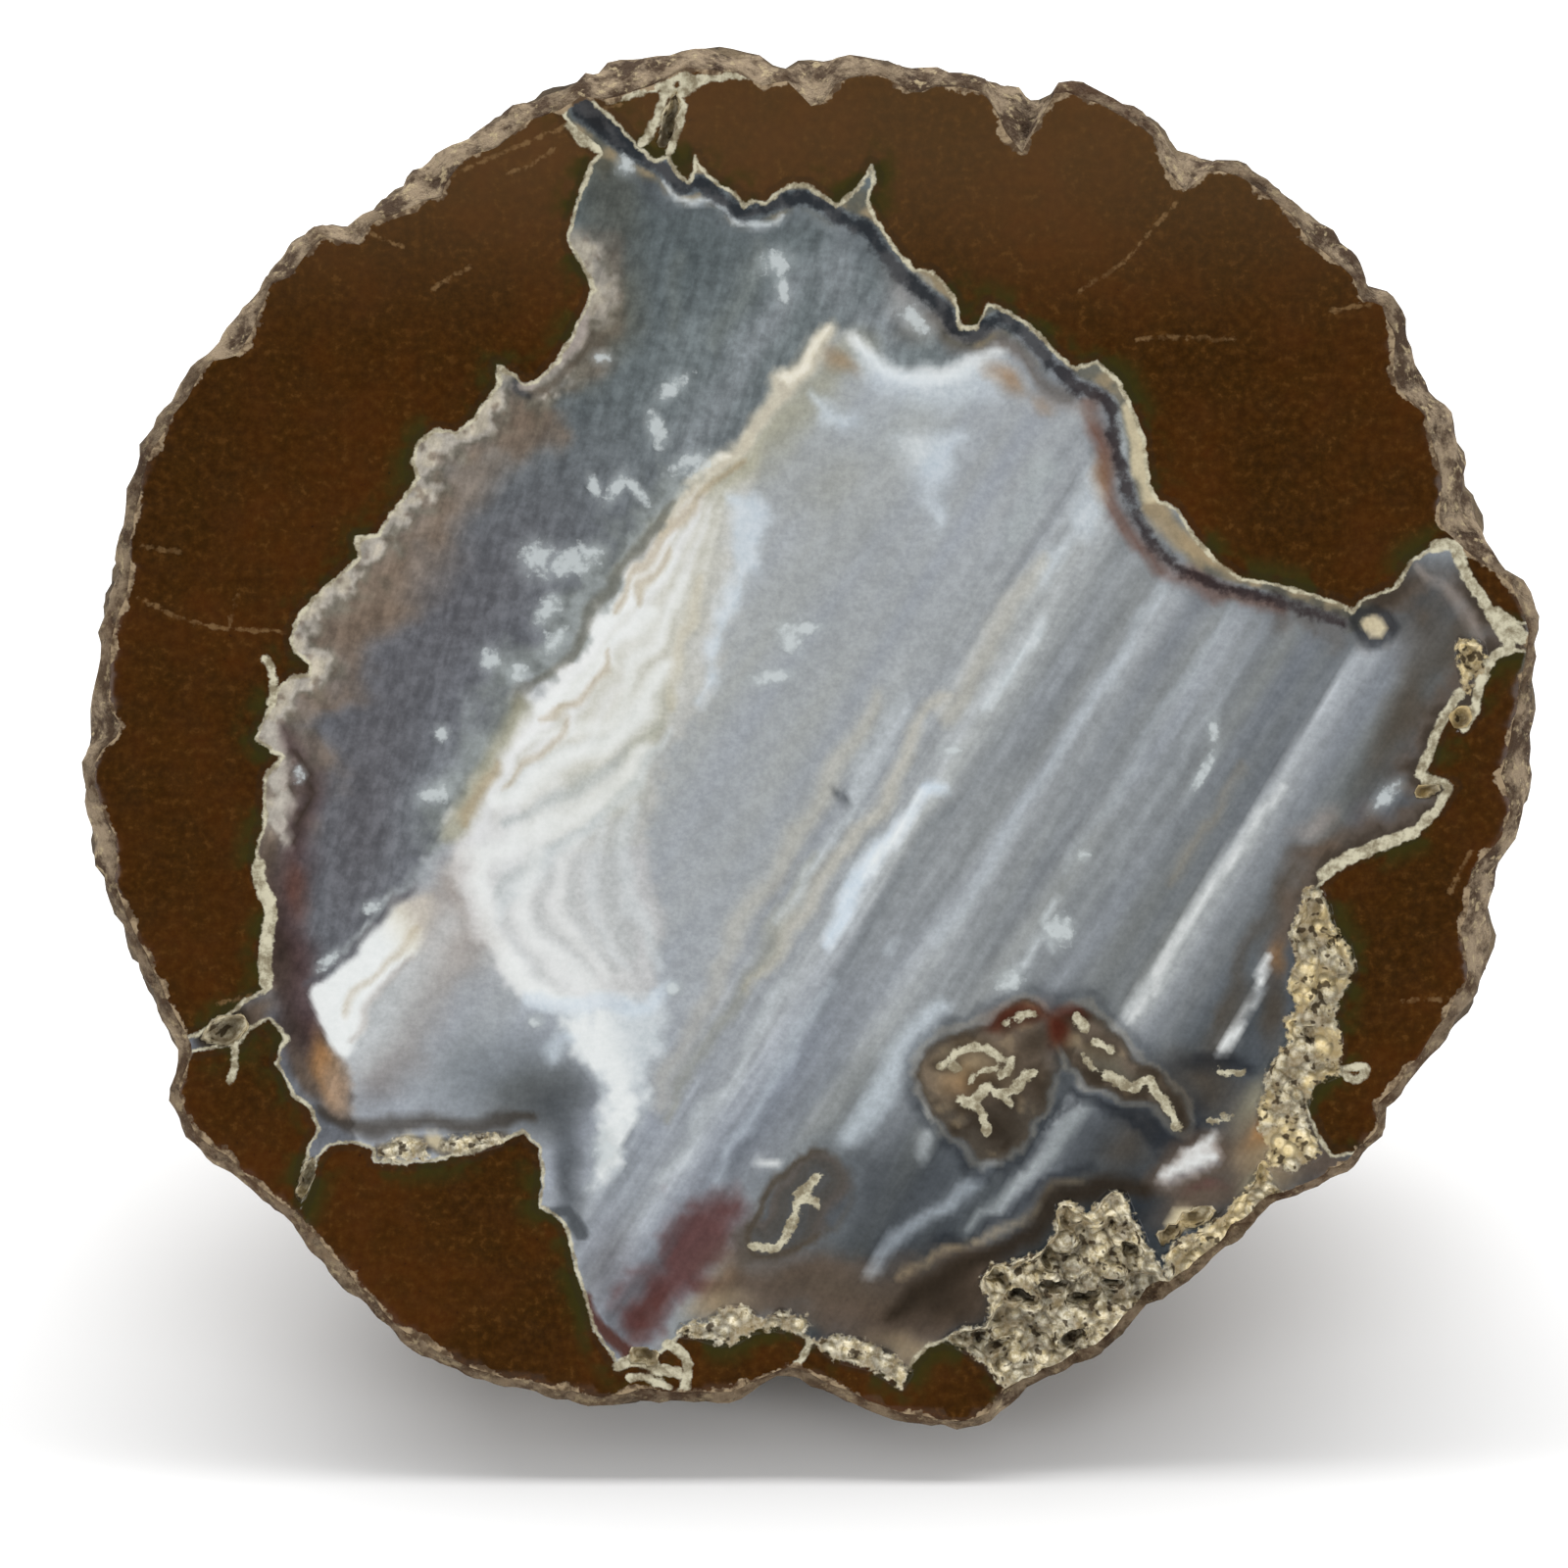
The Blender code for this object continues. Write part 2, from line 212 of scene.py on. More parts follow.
bpy.ops.object.mode_set(mode="EDIT")
bpy.ops.mesh.delete(type="VERT")
bpy.ops.object.mode_set(mode="OBJECT")

ball = points_of(rind)
ball /= np.linalg.norm(ball, axis=1)[:, None]
print("half ball:", len(ball), "points")

# %% Rind shape
WART_SIZE, WART_HEIGHT, WART_DEPTH = 3.4 * MM, 1.0 * MM, 3.0 * MM
GRAIN_SIZE, GRAIN_HEIGHT, GRAIN_DEPTH = 1.5 * MM, 0.45 * MM, 1.0 * MM
KNOB_LEVEL, WART_LEVEL = 0.5, 0.4           # share of the height that the middles stand out by
RIM_CHIP_SIZE, RIM_CHIP_HEIGHT = 1.7 * MM, 0.4 * MM
RIM_GAIN, RIM_LEFT = 0.3 * MM, 0.1 * MM     # the polish grows by this, and leaves this much rind
RING_EASE = 1.35                            # draws the rings of points closer together near the cut

angle = np.arctan2(ball[:, 1], ball[:, 0])
share = np.clip(np.arcsin(np.clip(-ball[:, 2], 0, 1)) / (math.pi / 2), 0, 1)
turn = share ** RING_EASE * math.pi / 2
power = 2 / BACK_FULLNESS
depth = BACK_DEPTH * np.sin(turn) ** power

outline_r = radius_at(OUTLINE, angle)
outer = mix(outline_r, softened(OUTLINE, angle), smooth(depth, 0, OUTLINE_FADE))
outer *= RIND_FLARE * np.clip(np.cos(turn), 0, 1) ** power
downward = np.clip(-np.sin(angle), 0, 1) ** 2
across = outer * np.cos(angle)
foot = FOOT_HEIGHT * np.exp(-(across ** 2 + (depth - FOOT_DEPTH) ** 2) / (2 * FOOT_SPREAD ** 2))
outer += downward * (foot - UNDERCUT * smooth(depth, 0, UNDERCUT_DEPTH))

inner = radius_at(POLISHED_EDGE, angle)
inner += np.clip(outline_r - inner - RIM_LEFT, 0, RIM_GAIN)
rim_place = at_point(inner * np.cos(angle), inner * np.sin(angle), 0 * angle)
inner_fine = inner - RIM_CHIP_HEIGHT * np.clip(swell(rim_place, RIM_CHIP_SIZE), 0, 1)
chip = CHIP_DEPTH + CHIP_SLOPE * np.clip(outline_r - inner, 0, None)
out = np.minimum(depth / chip, 1)
radius = mix(inner_fine, outer, 1 - (1 - out) ** 2)

place = at_point(radius * np.cos(angle), radius * np.sin(angle), -depth)
away = place + [0, 0, HEART_DEPTH]
away /= np.linalg.norm(away, axis=1)[:, None]
knob_reach = nearest_knob(place, KNOB_SIZE)
wart_reach = nearest_knob(place, WART_SIZE)
height = swell(place, LOBE_SIZE) * LOBE_HEIGHT * smooth(depth, 0, LOBE_DEPTH)
height += (KNOB_LEVEL - CREASE * knob_reach ** 2) * KNOB_HEIGHT * smooth(depth, 0, KNOB_DEPTH)
height += (WART_LEVEL - CREASE * wart_reach ** 2) * WART_HEIGHT * smooth(depth, 0, WART_DEPTH)
height += swell(place, GRAIN_SIZE) * GRAIN_HEIGHT * smooth(depth, 0, GRAIN_DEPTH)
place += away * height[:, None]
on_rim = share < NEARLY_ZERO
place[on_rim, 2] = 0
set_points(rind, place)
print("rind points on the rim:", int(on_rim.sum()))

# %% [markdown]
# ## Drawing on the face
# The pattern is drawn the way a painter would: with outlines, lines and soft washes whose places are
# given in mm on the face. Each of them needs the distance from every point of the mesh to a line, so
# that comes first.

# %% Distances on the face
FAR = 9.0                       # mm, what a distance says where no line or outline is near


def rounded(points, rounds=2):
    """Cuts the corners of a line of points, which keeps its ends."""
    points = np.array(points, float)
    for _ in range(rounds):
        if len(points) < 3:
            break
        near = points[:-1] * 0.75 + points[1:] * 0.25
        far = points[:-1] * 0.25 + points[1:] * 0.75
        middle = np.stack((near, far), axis=1).reshape(-1, 2)
        points = np.vstack((points[:1], middle[1:-1], points[-1:]))
    return points


def to_line(points, place, reach=1e9):
    """Distance in mm from each place to a line, up to reach, and how far along the line that is, 0 to 1."""
    points = np.array(points, float)
    lengths = np.hypot(*np.diff(points, axis=0).T)
    begun = np.concatenate(([0], np.cumsum(lengths)))
    distance = np.full(len(place), float(reach))
    along = np.zeros(len(place))
    low, high = points.min(0) - reach, points.max(0) + reach
    near = np.flatnonzero(((place > low) & (place < high)).all(1))
    spots, found, where = place[near], distance[near], along[near]
    for a, b, length, start in zip(points, points[1:], lengths, begun):
        step = b - a
        t = np.clip((spots - a) @ step / max(length ** 2, 1e-9), 0, 1)
        d = np.hypot(*(spots - a - t[:, None] * step).T)
        closer = d < found
        found[closer] = d[closer]
        where[closer] = (start + t[closer] * length) / begun[-1]
    distance[near], along[near] = found, where
    return distance, along


def inside(outline, place):
    """Which places lie inside a closed outline."""
    x, y = place.T
    hit = np.zeros(len(place), bool)
    for (x0, y0), (x1, y1) in zip(outline, np.roll(outline, -1, axis=0)):
        if y0 != y1:
            hit ^= ((y0 > y) != (y1 > y)) & (x < x0 + (y - y0) * (x1 - x0) / (y1 - y0))
    return hit


def depth_in(outline, place, reach=1e9):
    """Distance in mm to a closed outline, positive inside it and negative outside."""
    distance = to_line(list(outline) + [outline[0]], place, reach)[0]
    return np.where(inside(outline, place), distance, -distance)


# %% [markdown]
# ## The edge of the agate
# The agate filled a jagged, star-like hollow, and thin veins of it run out to the rim. Its edge is
# drawn point by point, because no formula gives a natural outline like this one. Where the agate or a
# crust reaches the rim, the outline simply runs outside the stone.

# %% Agate outline
AGATE_EDGE = [
    (-15.6, 45.5), (-14.2, 43.6), (-12.8, 42.4), (-11.5, 40.9), (-10.4, 39.9), (-9.4, 40.2), (-8.7, 38.9),
    (-8.1, 38.5), (-7.8, 39.2), (-7.7, 40.2), (-7.2, 39.4), (-6.8, 38.9), (-5.9, 38.2), (-5.0, 37.8),
    (-4.4, 36.9), (-3.9, 37.3), (-3.0, 37.1), (-2.3, 37.8), (-1.4, 38.3), (-0.3, 38.3), (0.6, 37.7),
    (1.7, 37.0), (2.6, 37.7), (3.3, 38.4), (4.0, 39.7), (4.3, 38.8), (3.8, 37.2), (4.4, 35.9),
    (5.6, 34.1), (6.9, 32.7), (8.0, 32.6), (8.9, 31.8), (9.8, 30.3), (9.9, 28.9), (10.9, 28.9),
    (11.7, 30.5), (13.0, 30.0), (14.3, 29.2), (15.7, 27.9), (16.6, 26.9), (17.6, 26.2), (18.9, 26.7),
    (20.5, 25.3), (21.2, 23.8), (22.1, 21.7), (22.3, 20.4), (22.5, 18.6), (23.0, 17.5), (24.3, 17.0),
    (25.4, 15.2), (27.0, 13.4), (28.6, 12.3), (30.6, 12.0), (32.8, 11.4), (35.1, 10.7), (36.0, 10.1),
    (36.6, 10.9), (37.5, 11.2), (38.9, 11.8), (39.8, 13.4), (40.9, 14.1), (42.4, 14.7), (43.2, 13.4),
    (43.9, 12.0), (44.8, 10.8), (46.0, 9.6), (50.0, 9.0), (50.0, 7.0), (46.8, 7.4), (45.6, 7.2),
    (44.8, 5.8), (44.3, 4.5), (44.4, 3.3), (43.4, 2.2), (42.6, 3.0), (41.9, 2.0), (41.5, 0.8),
    (41.2, -0.3), (40.5, -0.9), (42.9, -1.5), (42.0, -3.1), (41.0, -3.6), (40.4, -4.7), (38.6, -5.4),
    (36.8, -6.2), (35.3, -6.9), (34.4, -7.8), (33.9, -8.4), (34.5, -9.5), (34.9, -11.2), (35.9, -12.3),
    (36.3, -13.8), (35.6, -15.3), (35.0, -16.9), (35.5, -19.2), (35.2, -20.6), (33.7, -21.6),
    (33.2, -22.9), (34.1, -25.0), (34.9, -26.3), (36.2, -26.1), (40.0, -25.2), (32.0, -34.0),
    (20.0, -43.0), (14.2, -45.0), (13.1, -42.2), (12.2, -40.8), (10.8, -39.7), (9.2, -38.9),
    (8.0, -39.2), (6.9, -40.3), (6.1, -41.9), (5.0, -41.2), (4.0, -40.7), (2.0, -40.2), (0.7, -39.4),
    (-0.3, -38.8), (-1.5, -38.1), (-2.5, -37.9), (-3.9, -38.1), (-5.0, -38.8), (-6.0, -39.0),
    (-6.8, -38.8), (-7.6, -38.3), (-8.6, -38.4), (-9.3, -39.1), (-10.4, -39.9), (-10.9, -40.7),
    (-12.0, -39.9), (-12.9, -40.7), (-13.5, -39.8), (-14.6, -38.1), (-15.1, -36.3), (-15.8, -34.1),
    (-16.2, -32.2), (-16.6, -30.9), (-17.4, -30.3), (-18.3, -29.8), (-18.0, -27.6), (-18.3, -25.8),
    (-19.3, -24.8), (-20.6, -25.4), (-22.2, -26.1), (-25.1, -26.7), (-27.1, -26.9), (-29.3, -26.8),
    (-29.4, -25.9), (-30.7, -25.5), (-32.3, -25.7), (-33.1, -26.7), (-33.5, -28.2), (-34.2, -30.0),
    (-34.2, -28.0), (-33.9, -26.5), (-33.6, -25.4), (-33.0, -24.6), (-33.4, -23.8), (-33.6, -23.1),
    (-34.7, -22.4), (-35.3, -21.1), (-35.8, -20.2), (-35.6, -19.0), (-35.1, -18.5), (-35.8, -17.7),
    (-36.3, -17.2), (-37.6, -17.9), (-38.3, -18.9), (-40.1, -19.2), (-42.5, -19.6), (-42.5, -18.7),
    (-40.5, -17.8), (-39.3, -17.0), (-38.1, -16.0), (-36.4, -15.1), (-36.3, -14.2), (-36.7, -13.0),
    (-36.5, -11.3), (-36.0, -10.1), (-36.0, -9.3), (-36.9, -7.9), (-37.1, -6.8), (-37.0, -5.4),
    (-36.5, -3.9), (-36.6, -2.5), (-36.4, -0.7), (-35.3, 0.3), (-37.1, 1.5), (-36.7, 2.6), (-36.0, 3.8),
    (-35.5, 5.1), (-34.5, 5.8), (-33.5, 5.9), (-33.4, 6.5), (-34.5, 7.4), (-34.7, 8.3), (-34.3, 9.6),
    (-33.2, 10.9), (-31.6, 12.4), (-30.1, 13.6), (-30.4, 15.0), (-28.8, 15.2), (-28.0, 16.6),
    (-26.9, 17.9), (-26.2, 19.0), (-26.6, 20.0), (-26.2, 21.2), (-25.0, 22.2), (-23.5, 22.0),
    (-22.4, 22.9), (-21.7, 24.0), (-20.8, 25.1), (-20.9, 26.5), (-19.7, 25.8), (-19.0, 25.2),
    (-18.3, 25.3), (-16.9, 26.7), (-16.0, 28.2), (-15.1, 30.0), (-14.5, 31.4), (-14.9, 32.3),
    (-15.5, 33.4), (-16.2, 34.7), (-15.9, 36.1), (-15.2, 38.1), (-14.6, 39.7), (-14.0, 40.3),
    (-14.6, 41.0), (-16.0, 42.1), (-17.2, 44.5),
]

# Veins and threads: half width in mm, then the line that each one follows
CREAM_VEINS = [
    (0.20, [(-13.2, 43.8), (-11.5, 44.3), (-10.2, 44.7), (-9.4, 44.9), (-8.2, 45.8)]),
    (0.26, [(-9.6, 44.9), (-9.9, 43.3), (-10.6, 41.8), (-11.2, 41.0)]),
    (0.24, [(-8.1, 45.3), (-9.0, 43.9), (-8.4, 43.5), (-8.8, 42.1), (-9.4, 40.4)]),
    (0.30, [(-9.7, 44.8), (-8.6, 44.1), (-7.6, 45.0), (-6.9, 45.3), (-5.6, 45.5), (-4.0, 45.6)]),
    (0.22, [(-16.0, 42.1), (-15.4, 41.2), (-14.2, 40.6)]),
    (0.22, [(-36.4, 6.9), (-35.9, 6.3), (-35.8, 5.2), (-36.0, 3.9)]),
    (0.20, [(-38.6, -18.9), (-38.5, -20.2), (-38.9, -21.3)]),
    (0.18, [(-0.1, -38.9), (-0.4, -39.8), (-1.1, -40.7)]),
    (0.30, [(-9.6, -39.1), (-8.5, -39.7), (-8.2, -41.0), (-8.6, -42.4)]),
    (0.34, [(-12.9, -40.5), (-11.6, -40.1), (-10.2, -40.9), (-8.9, -41.0)]),
    (0.24, [(-12.2, -41.4), (-11.3, -41.2), (-10.5, -41.7), (-9.6, -42.0)]),
    (0.42, [(-36.9, -6.9), (-36.8, -8.2), (-36.0, -9.7), (-36.3, -11.4), (-36.6, -13.2), (-36.4, -14.8)]),
    (0.22, [(35.4, -20.6), (36.4, -21.4), (37.3, -20.8), (37.0, -20.3), (35.9, -20.5)]),
    (0.28, [(43.3, 4.7), (42.5, 3.6), (41.7, 2.2), (41.3, 0.9), (40.9, 0.0), (40.5, -0.7), (41.5, -1.2)]),
    (0.26, [(41.0, -1.3), (42.7, -1.4), (42.0, -2.7), (41.3, -3.7), (40.3, -4.6)]),
    (0.40, [(40.2, -4.7), (38.7, -5.2), (36.8, -6.0), (35.2, -6.7), (34.2, -7.5)]),
    (0.34, [(42.9, 14.2), (43.3, 13.0), (44.0, 11.8), (44.9, 10.6), (45.6, 9.2), (46.6, 7.8)]),
    (0.45, [(45.6, 9.9), (46.5, 9.2), (47.4, 8.2)]),
    (0.36, [(41.5, 14.3), (42.5, 14.6), (43.8, 14.0)]),
    (0.30, [(46.6, 7.6), (45.6, 7.3), (45.0, 6.3), (44.4, 5.0), (44.3, 3.6), (43.5, 2.3)]),
]
# Hairline cracks in the brown rock
CRACKS = [
    [(-17.0, 40.6), (-18.4, 39.6), (-20.1, 39.0)],
    [(-25.3, 31.2), (-23.8, 32.3), (-22.4, 32.9)],
    [(-44.8, 11.0), (-42.0, 9.6), (-39.4, 8.9), (-35.2, 8.7)],
    [(-38.8, 8.9), (-38.2, 11.2)],
    [(17.8, 31.3), (20.3, 32.7), (22.0, 34.7), (24.3, 37.2)],
    [(21.6, 28.1), (24.8, 28.3), (28.1, 28.0)],
    [(34.4, 30.0), (37.5, 30.4)],
    [(39.5, -16.0), (43.0, -15.8)],
    [(-12.6, 43.6), (-17.6, 41.6), (-24.0, 38.8)],
    [(-30.6, 35.6), (-27.0, 34.2)],
    [(44.0, -6.0), (42.6, -8.8)],
    [(-39.6, -16.2), (-37.4, -15.6)],
    [(-44.6, 14.4), (-41.8, 14.0)],
]
# Outlines of the porous crusts
CRUSTS = [
    [(11.4, -34.7), (12.1, -33.8), (13.9, -33.4), (15.7, -32.7), (16.3, -31.6), (16.6, -29.6),
     (17.3, -29.4), (18.6, -30.3), (20.2, -28.8), (21.0, -28.9), (21.6, -30.3), (22.7, -32.7),
     (23.4, -33.6), (25.0, -36.0), (20.0, -43.0), (14.0, -44.5), (12.9, -41.9), (11.6, -40.3),
     (10.2, -39.4), (9.0, -38.8), (10.2, -37.9), (11.8, -37.9), (12.0, -36.2)],
    [(23.6, -33.2), (24.8, -31.9), (26.3, -31.3), (27.6, -30.4), (29.3, -28.6), (30.3, -26.9),
     (30.9, -28.2), (33.0, -30.0), (28.0, -35.0), (24.5, -36.0)],
    [(33.0, -8.5), (33.9, -8.4), (34.5, -9.5), (34.9, -11.2), (35.9, -12.3), (36.3, -13.8), (35.6, -15.3),
     (35.0, -16.9), (35.5, -19.2), (35.4, -20.8), (33.6, -21.6), (33.1, -23.6), (31.6, -22.6),
     (30.2, -23.0), (30.4, -21.4), (30.8, -20.1), (32.1, -18.6), (31.6, -17.4), (32.5, -16.3),
     (31.9, -15.0), (32.4, -13.0), (32.0, -11.4), (32.7, -9.8)],
    [(43.1, 8.2), (44.6, 8.0), (45.0, 6.5), (44.2, 5.6), (43.7, 4.6), (43.3, 5.8), (43.1, 6.9)],
    [(-9.0, -38.4), (-8.7, -37.8), (-6.9, -37.5), (-5.8, -36.6), (-4.2, -36.6), (-3.4, -37.5),
     (-2.0, -36.8), (-0.2, -37.3), (-0.3, -38.4), (-1.5, -38.2), (-2.5, -38.0), (-3.9, -38.2),
     (-5.0, -38.9), (-6.0, -39.1), (-7.6, -38.6)],
    [(0.0, -38.9), (1.6, -38.5), (3.7, -38.9), (5.6, -39.9), (6.7, -41.0), (6.1, -42.0), (5.0, -41.3),
     (3.7, -40.6), (2.0, -40.2), (0.7, -39.5)],
    [(-22.0, -25.0), (-21.0, -24.9), (-20.8, -25.5), (-22.0, -25.9), (-23.6, -26.2), (-24.8, -25.9),
     (-24.6, -25.2), (-23.3, -25.0)],
    [(-29.0, -26.0), (-27.6, -25.2), (-26.0, -25.2), (-25.6, -26.3), (-27.1, -26.7), (-28.8, -26.7)],
    [(31.2, -21.4), (30.0, -22.8), (29.9, -24.4), (30.6, -25.6), (30.6, -27.0), (32.4, -27.4),
     (34.2, -26.2), (33.4, -24.6), (33.0, -22.6)],
]
print("agate outline:", len(AGATE_EDGE), "points;", len(CREAM_VEINS), "veins run out of it")

# %% [markdown]
# ## The mesh of the cut face
# A polished cut is flat, so its shape needs hardly any points. Its pattern does: colours are kept on
# the points of the mesh, and a line half a millimetre wide only stays sharp where points crowd along
# it. A grid that is subdivided by hand leaves long thin triangles between its steps. So the face is
# filled with an even triangular lattice in three steps, wide in the plain rock, finer in the agate and
# finest along its lines, and Delaunay triangulation joins the lattice to the rim of the rind.

# %% Face points
LATTICE_STEP = 0.235            # mm between points along the lines; two and four times that elsewhere
LATTICE_HALF = 100              # mm, half its width before it is cut to the rim
RIM_GAP = 0.25                  # mm left free between the lattice and the rim
LINE_MARGIN = 1.05              # mm to each side of a line that get the finest step
SKIN_IN = 0.5                   # mm inside the agate's edge, the middle of the fine strip along it
AGATE_MARGIN, CRUST_MARGIN = 0.6, 0.5       # mm outside the agate and the crusts that are made finer too
KEEP_INSIDE, POINT_GAP = 1, 1e-6            # what the triangulation keeps, and how near points are one
FINE_PLACES = [                 # plume, white tongue, inclusions, hooked vein and flecks
    [(1, 29), (-15, 12), (-25, -3), (-24, -14), (-16, -18), (-9, -16), (-9, 0), (-3, 16), (4, 27)],
    [(-25, -9), (-28, -8), (-35, -15), (-32, -21), (-29, -20)],
    [(7, -19), (13, -14), (19, -15), (26, -20), (26, -26), (19, -23), (11, -27), (7, -23)],
    [(1.8, -26.5), (-1.5, -26.5), (-5, -32), (-3.5, -34), (0.5, -32)],
    [(-20, 14), (-18, 9), (-13, 12), (-6, 20), (-9, 26), (-12, 24)],
]

rim_order = np.argsort(angle[on_rim])
rim = (place[on_rim][rim_order] / MM)[:, :2]
count = int(LATTICE_HALF / LATTICE_STEP)
row, column = np.mgrid[-count:count, -count:count]
row, column = row.ravel(), column.ravel()
lattice = np.column_stack((column + row * 0.5, row * math.sqrt(3) / 2)) * LATTICE_STEP
lattice_angle = np.arctan2(lattice[:, 1], lattice[:, 0])
rim_r = np.interp(lattice_angle, np.arctan2(rim[:, 1], rim[:, 0]), np.hypot(*rim.T), period=2 * math.pi)
kept = np.hypot(*lattice.T) < rim_r - RIM_GAP
lattice, row, column = lattice[kept], row[kept], column[kept]

agate = depth_in(AGATE_EDGE, lattice)
line = np.abs(agate - SKIN_IN)
for points in [points for _, points in CREAM_VEINS] + CRACKS:
    line = np.minimum(line, to_line(points, lattice, 3)[0])
crust = np.max([depth_in(outline, lattice, 2) for outline in CRUSTS], axis=0)
wide = (row % 4 == 0) & (column % 4 == 0)
middling = (row % 2 == 0) & (column % 2 == 0) & (agate > -AGATE_MARGIN)
fine = (line < LINE_MARGIN) | (crust > -CRUST_MARGIN)
for outline in FINE_PLACES:
    fine |= inside(outline, lattice)
chosen = wide | middling | fine
print("lattice:", int(wide.sum()), "wide,", int(middling.sum()), "in the agate,",
      int(chosen.sum()), "in all")

# %% Face mesh
corners = [tuple(p) for p in rim] + [tuple(p) for p in lattice[chosen]]
ring = [(i, (i + 1) % len(rim)) for i in range(len(rim))]
made = geometry.delaunay_2d_cdt([Vector(c) for c in corners], ring, [], KEEP_INSIDE, POINT_GAP)
face_mesh = bpy.data.meshes.new("cut_face")
face_mesh.from_pydata([(v.x * MM, v.y * MM, 0) for v in made[0]], [], made[2])
face = bpy.data.objects.new("cut_face", face_mesh)
bpy.context.scene.collection.objects.link(face)
print("cut face:", len(face_mesh.vertices), "points and", len(face_mesh.polygons), "triangles")

# %% [markdown]
# ## One stone
# The rind and the cut face are one piece of stone, so they become one closed mesh: the face's outer
# points lie exactly on the rim of the rind, and merging by distance sews the two together. Each side
# keeps its own material, which is why the materials are given their slots before the two are joined.

# %% Join
CREASE_KEEP = {"knob_crease": knob_reach, "wart_crease": wart_reach, "behind_face": depth / MM,
               "chip_in": 1 - depth / chip, "chip_wide": (outline_r - inner_fine) / MM}
for name, values in CREASE_KEEP.items():
    rind.data.attributes.new(name, "FLOAT", "POINT").data.foreach_set("value", values.astype(np.float32))

cut_finish = bpy.data.materials.new("polished_agate_cut")
rind_finish = bpy.data.materials.new("rough_rind")
cut_finish.use_nodes = rind_finish.use_nodes = True
rind.data.materials.append(rind_finish)
face.data.materials.append(cut_finish)
bpy.ops.object.select_all(action="DESELECT")
face.select_set(True)
rind.select_set(True)
bpy.context.view_layer.objects.active = rind
bpy.ops.object.join()
stone = bpy.context.object
bpy.ops.object.mode_set(mode="EDIT")
bpy.ops.mesh.select_all(action="SELECT")
bpy.ops.mesh.remove_doubles(threshold=1e-6)
bpy.ops.mesh.normals_make_consistent(inside=False)
bpy.ops.object.mode_set(mode="OBJECT")
place = points_of(stone)
spots = place[:, :2] / MM
behind = -place[:, 2] / MM
on_cut = behind < NEARLY_ZERO
print("stone:", len(place), "points,", int(on_cut.sum()), "of them on the cut")

# %% [markdown]
# ## Crusts and pits
# In a few places the filling stayed open: a porous, pale crust with dark holes lies a little below the
# polish. A Boolean would leave each hole as smooth as its cutter, so the points of the mesh are pushed
# in instead, following rounded lumps with deep creases between them, with a few deeper pits where the
# stone has them.

# %% Pits
# Middle on the face, half length, half width and depth in mm, and turn in degrees
PITS = [
    ((-39.2, -17.9), 1.5, 1.0, 1.8, 20), ((-9.4, 42.6), 1.9, 0.5, 1.8, 76),
    ((-33.9, -28.0), 1.6, 0.4, 1.5, 72), ((43.4, 3.0), 0.9, 0.7, 1.4, 40),
    ((41.2, -1.8), 0.9, 0.5, 1.2, 15), ((16.0, -33.6), 0.5, 1.0, 2.4, 10),
    ((14.3, -36.1), 1.2, 0.4, 2.6, -8), ((18.4, -36.2), 1.5, 0.5, 2.6, 12),
    ((21.6, -33.0), 1.0, 0.5, 2.4, -40), ((12.8, -39.3), 1.7, 0.5, 1.8, 22),
    ((17.6, -39.0), 1.4, 0.6, 2.2, 30), ((25.8, -30.6), 1.5, 0.6, 1.6, 25),
    ((34.9, -12.2), 0.6, 0.4, 1.4, 60), ((33.4, -18.0), 0.5, 0.4, 1.2, 10),
    ((-11.2, -40.0), 1.1, 0.6, 1.6, -20), ((20.4, -35.2), 1.0, 0.4, 2.4, 0),
    ((16.5, -35.3), 1.4, 0.35, 2.4, 4), ((24.2, -31.6), 0.9, 0.5, 1.5, 30),
]
CRUST_LUMP, CRUST_GRAIN = 1.5, 0.75         # mm across
CRUST_SUNK, LUMP_CREASE, GRAIN_CREASE = 0.3, 1.25, 0.4      # mm deep
LUMP_CLOSE = 1.3                            # creases are full from a lump's size divided by this
CRUST_BEND, CRUST_BEND_SIZE = 0.35, 1.1     # mm, how noise roughens the edge of a crust
PIT_BEND, PIT_BEND_SIZE = 0.3, 0.9          # mm, the same for the edge of a pit
PUSHED_ZONE = 4.0                           # mm behind the cut; nothing further back is pushed in
# Share of the crusts' depths that each one has, in their order
CRUST_RELIEF = (1.0, 0.8, 0.55, 0.5, 0.3, 0.3, 0.2, 0.2, 0.25)


def ellipse(places, middle, half_length, half_width, turn):
    """0 in the middle of an ellipse, 1 on it and more outside."""
    c, s = math.cos(math.radians(turn)), math.sin(math.radians(turn))
    x, y = (places - middle).T
    return np.hypot((x * c + y * s) / half_length, (y * c - x * s) / half_width)


# %% Push the crusts and pits in
front = np.flatnonzero(behind < PUSHED_ZONE)
here = spots[front]
flat = at_point(here[:, 0], here[:, 1], 0 * here[:, 0])
crust_in = np.full(len(place), -FAR)
in_each = np.array([depth_in(outline, here, FAR) for outline in CRUSTS])
crust_in[front] = in_each.max(axis=0)
crusted = smooth(crust_in[front] + CRUST_BEND * swell(flat, CRUST_BEND_SIZE), -0.1, 0.7)
lump = nearest_knob(flat, CRUST_LUMP)
grain = nearest_knob(flat, CRUST_GRAIN)
sunk = CRUST_SUNK + LUMP_CREASE * np.clip(lump * LUMP_CLOSE, 0, 1) ** 2
sunk += GRAIN_CREASE * np.clip(grain, 0, 1) ** 2
sunk *= crusted * np.array(CRUST_RELIEF)[in_each.argmax(axis=0)]
bent = here + PIT_BEND * swell(flat, PIT_BEND_SIZE)[:, None]
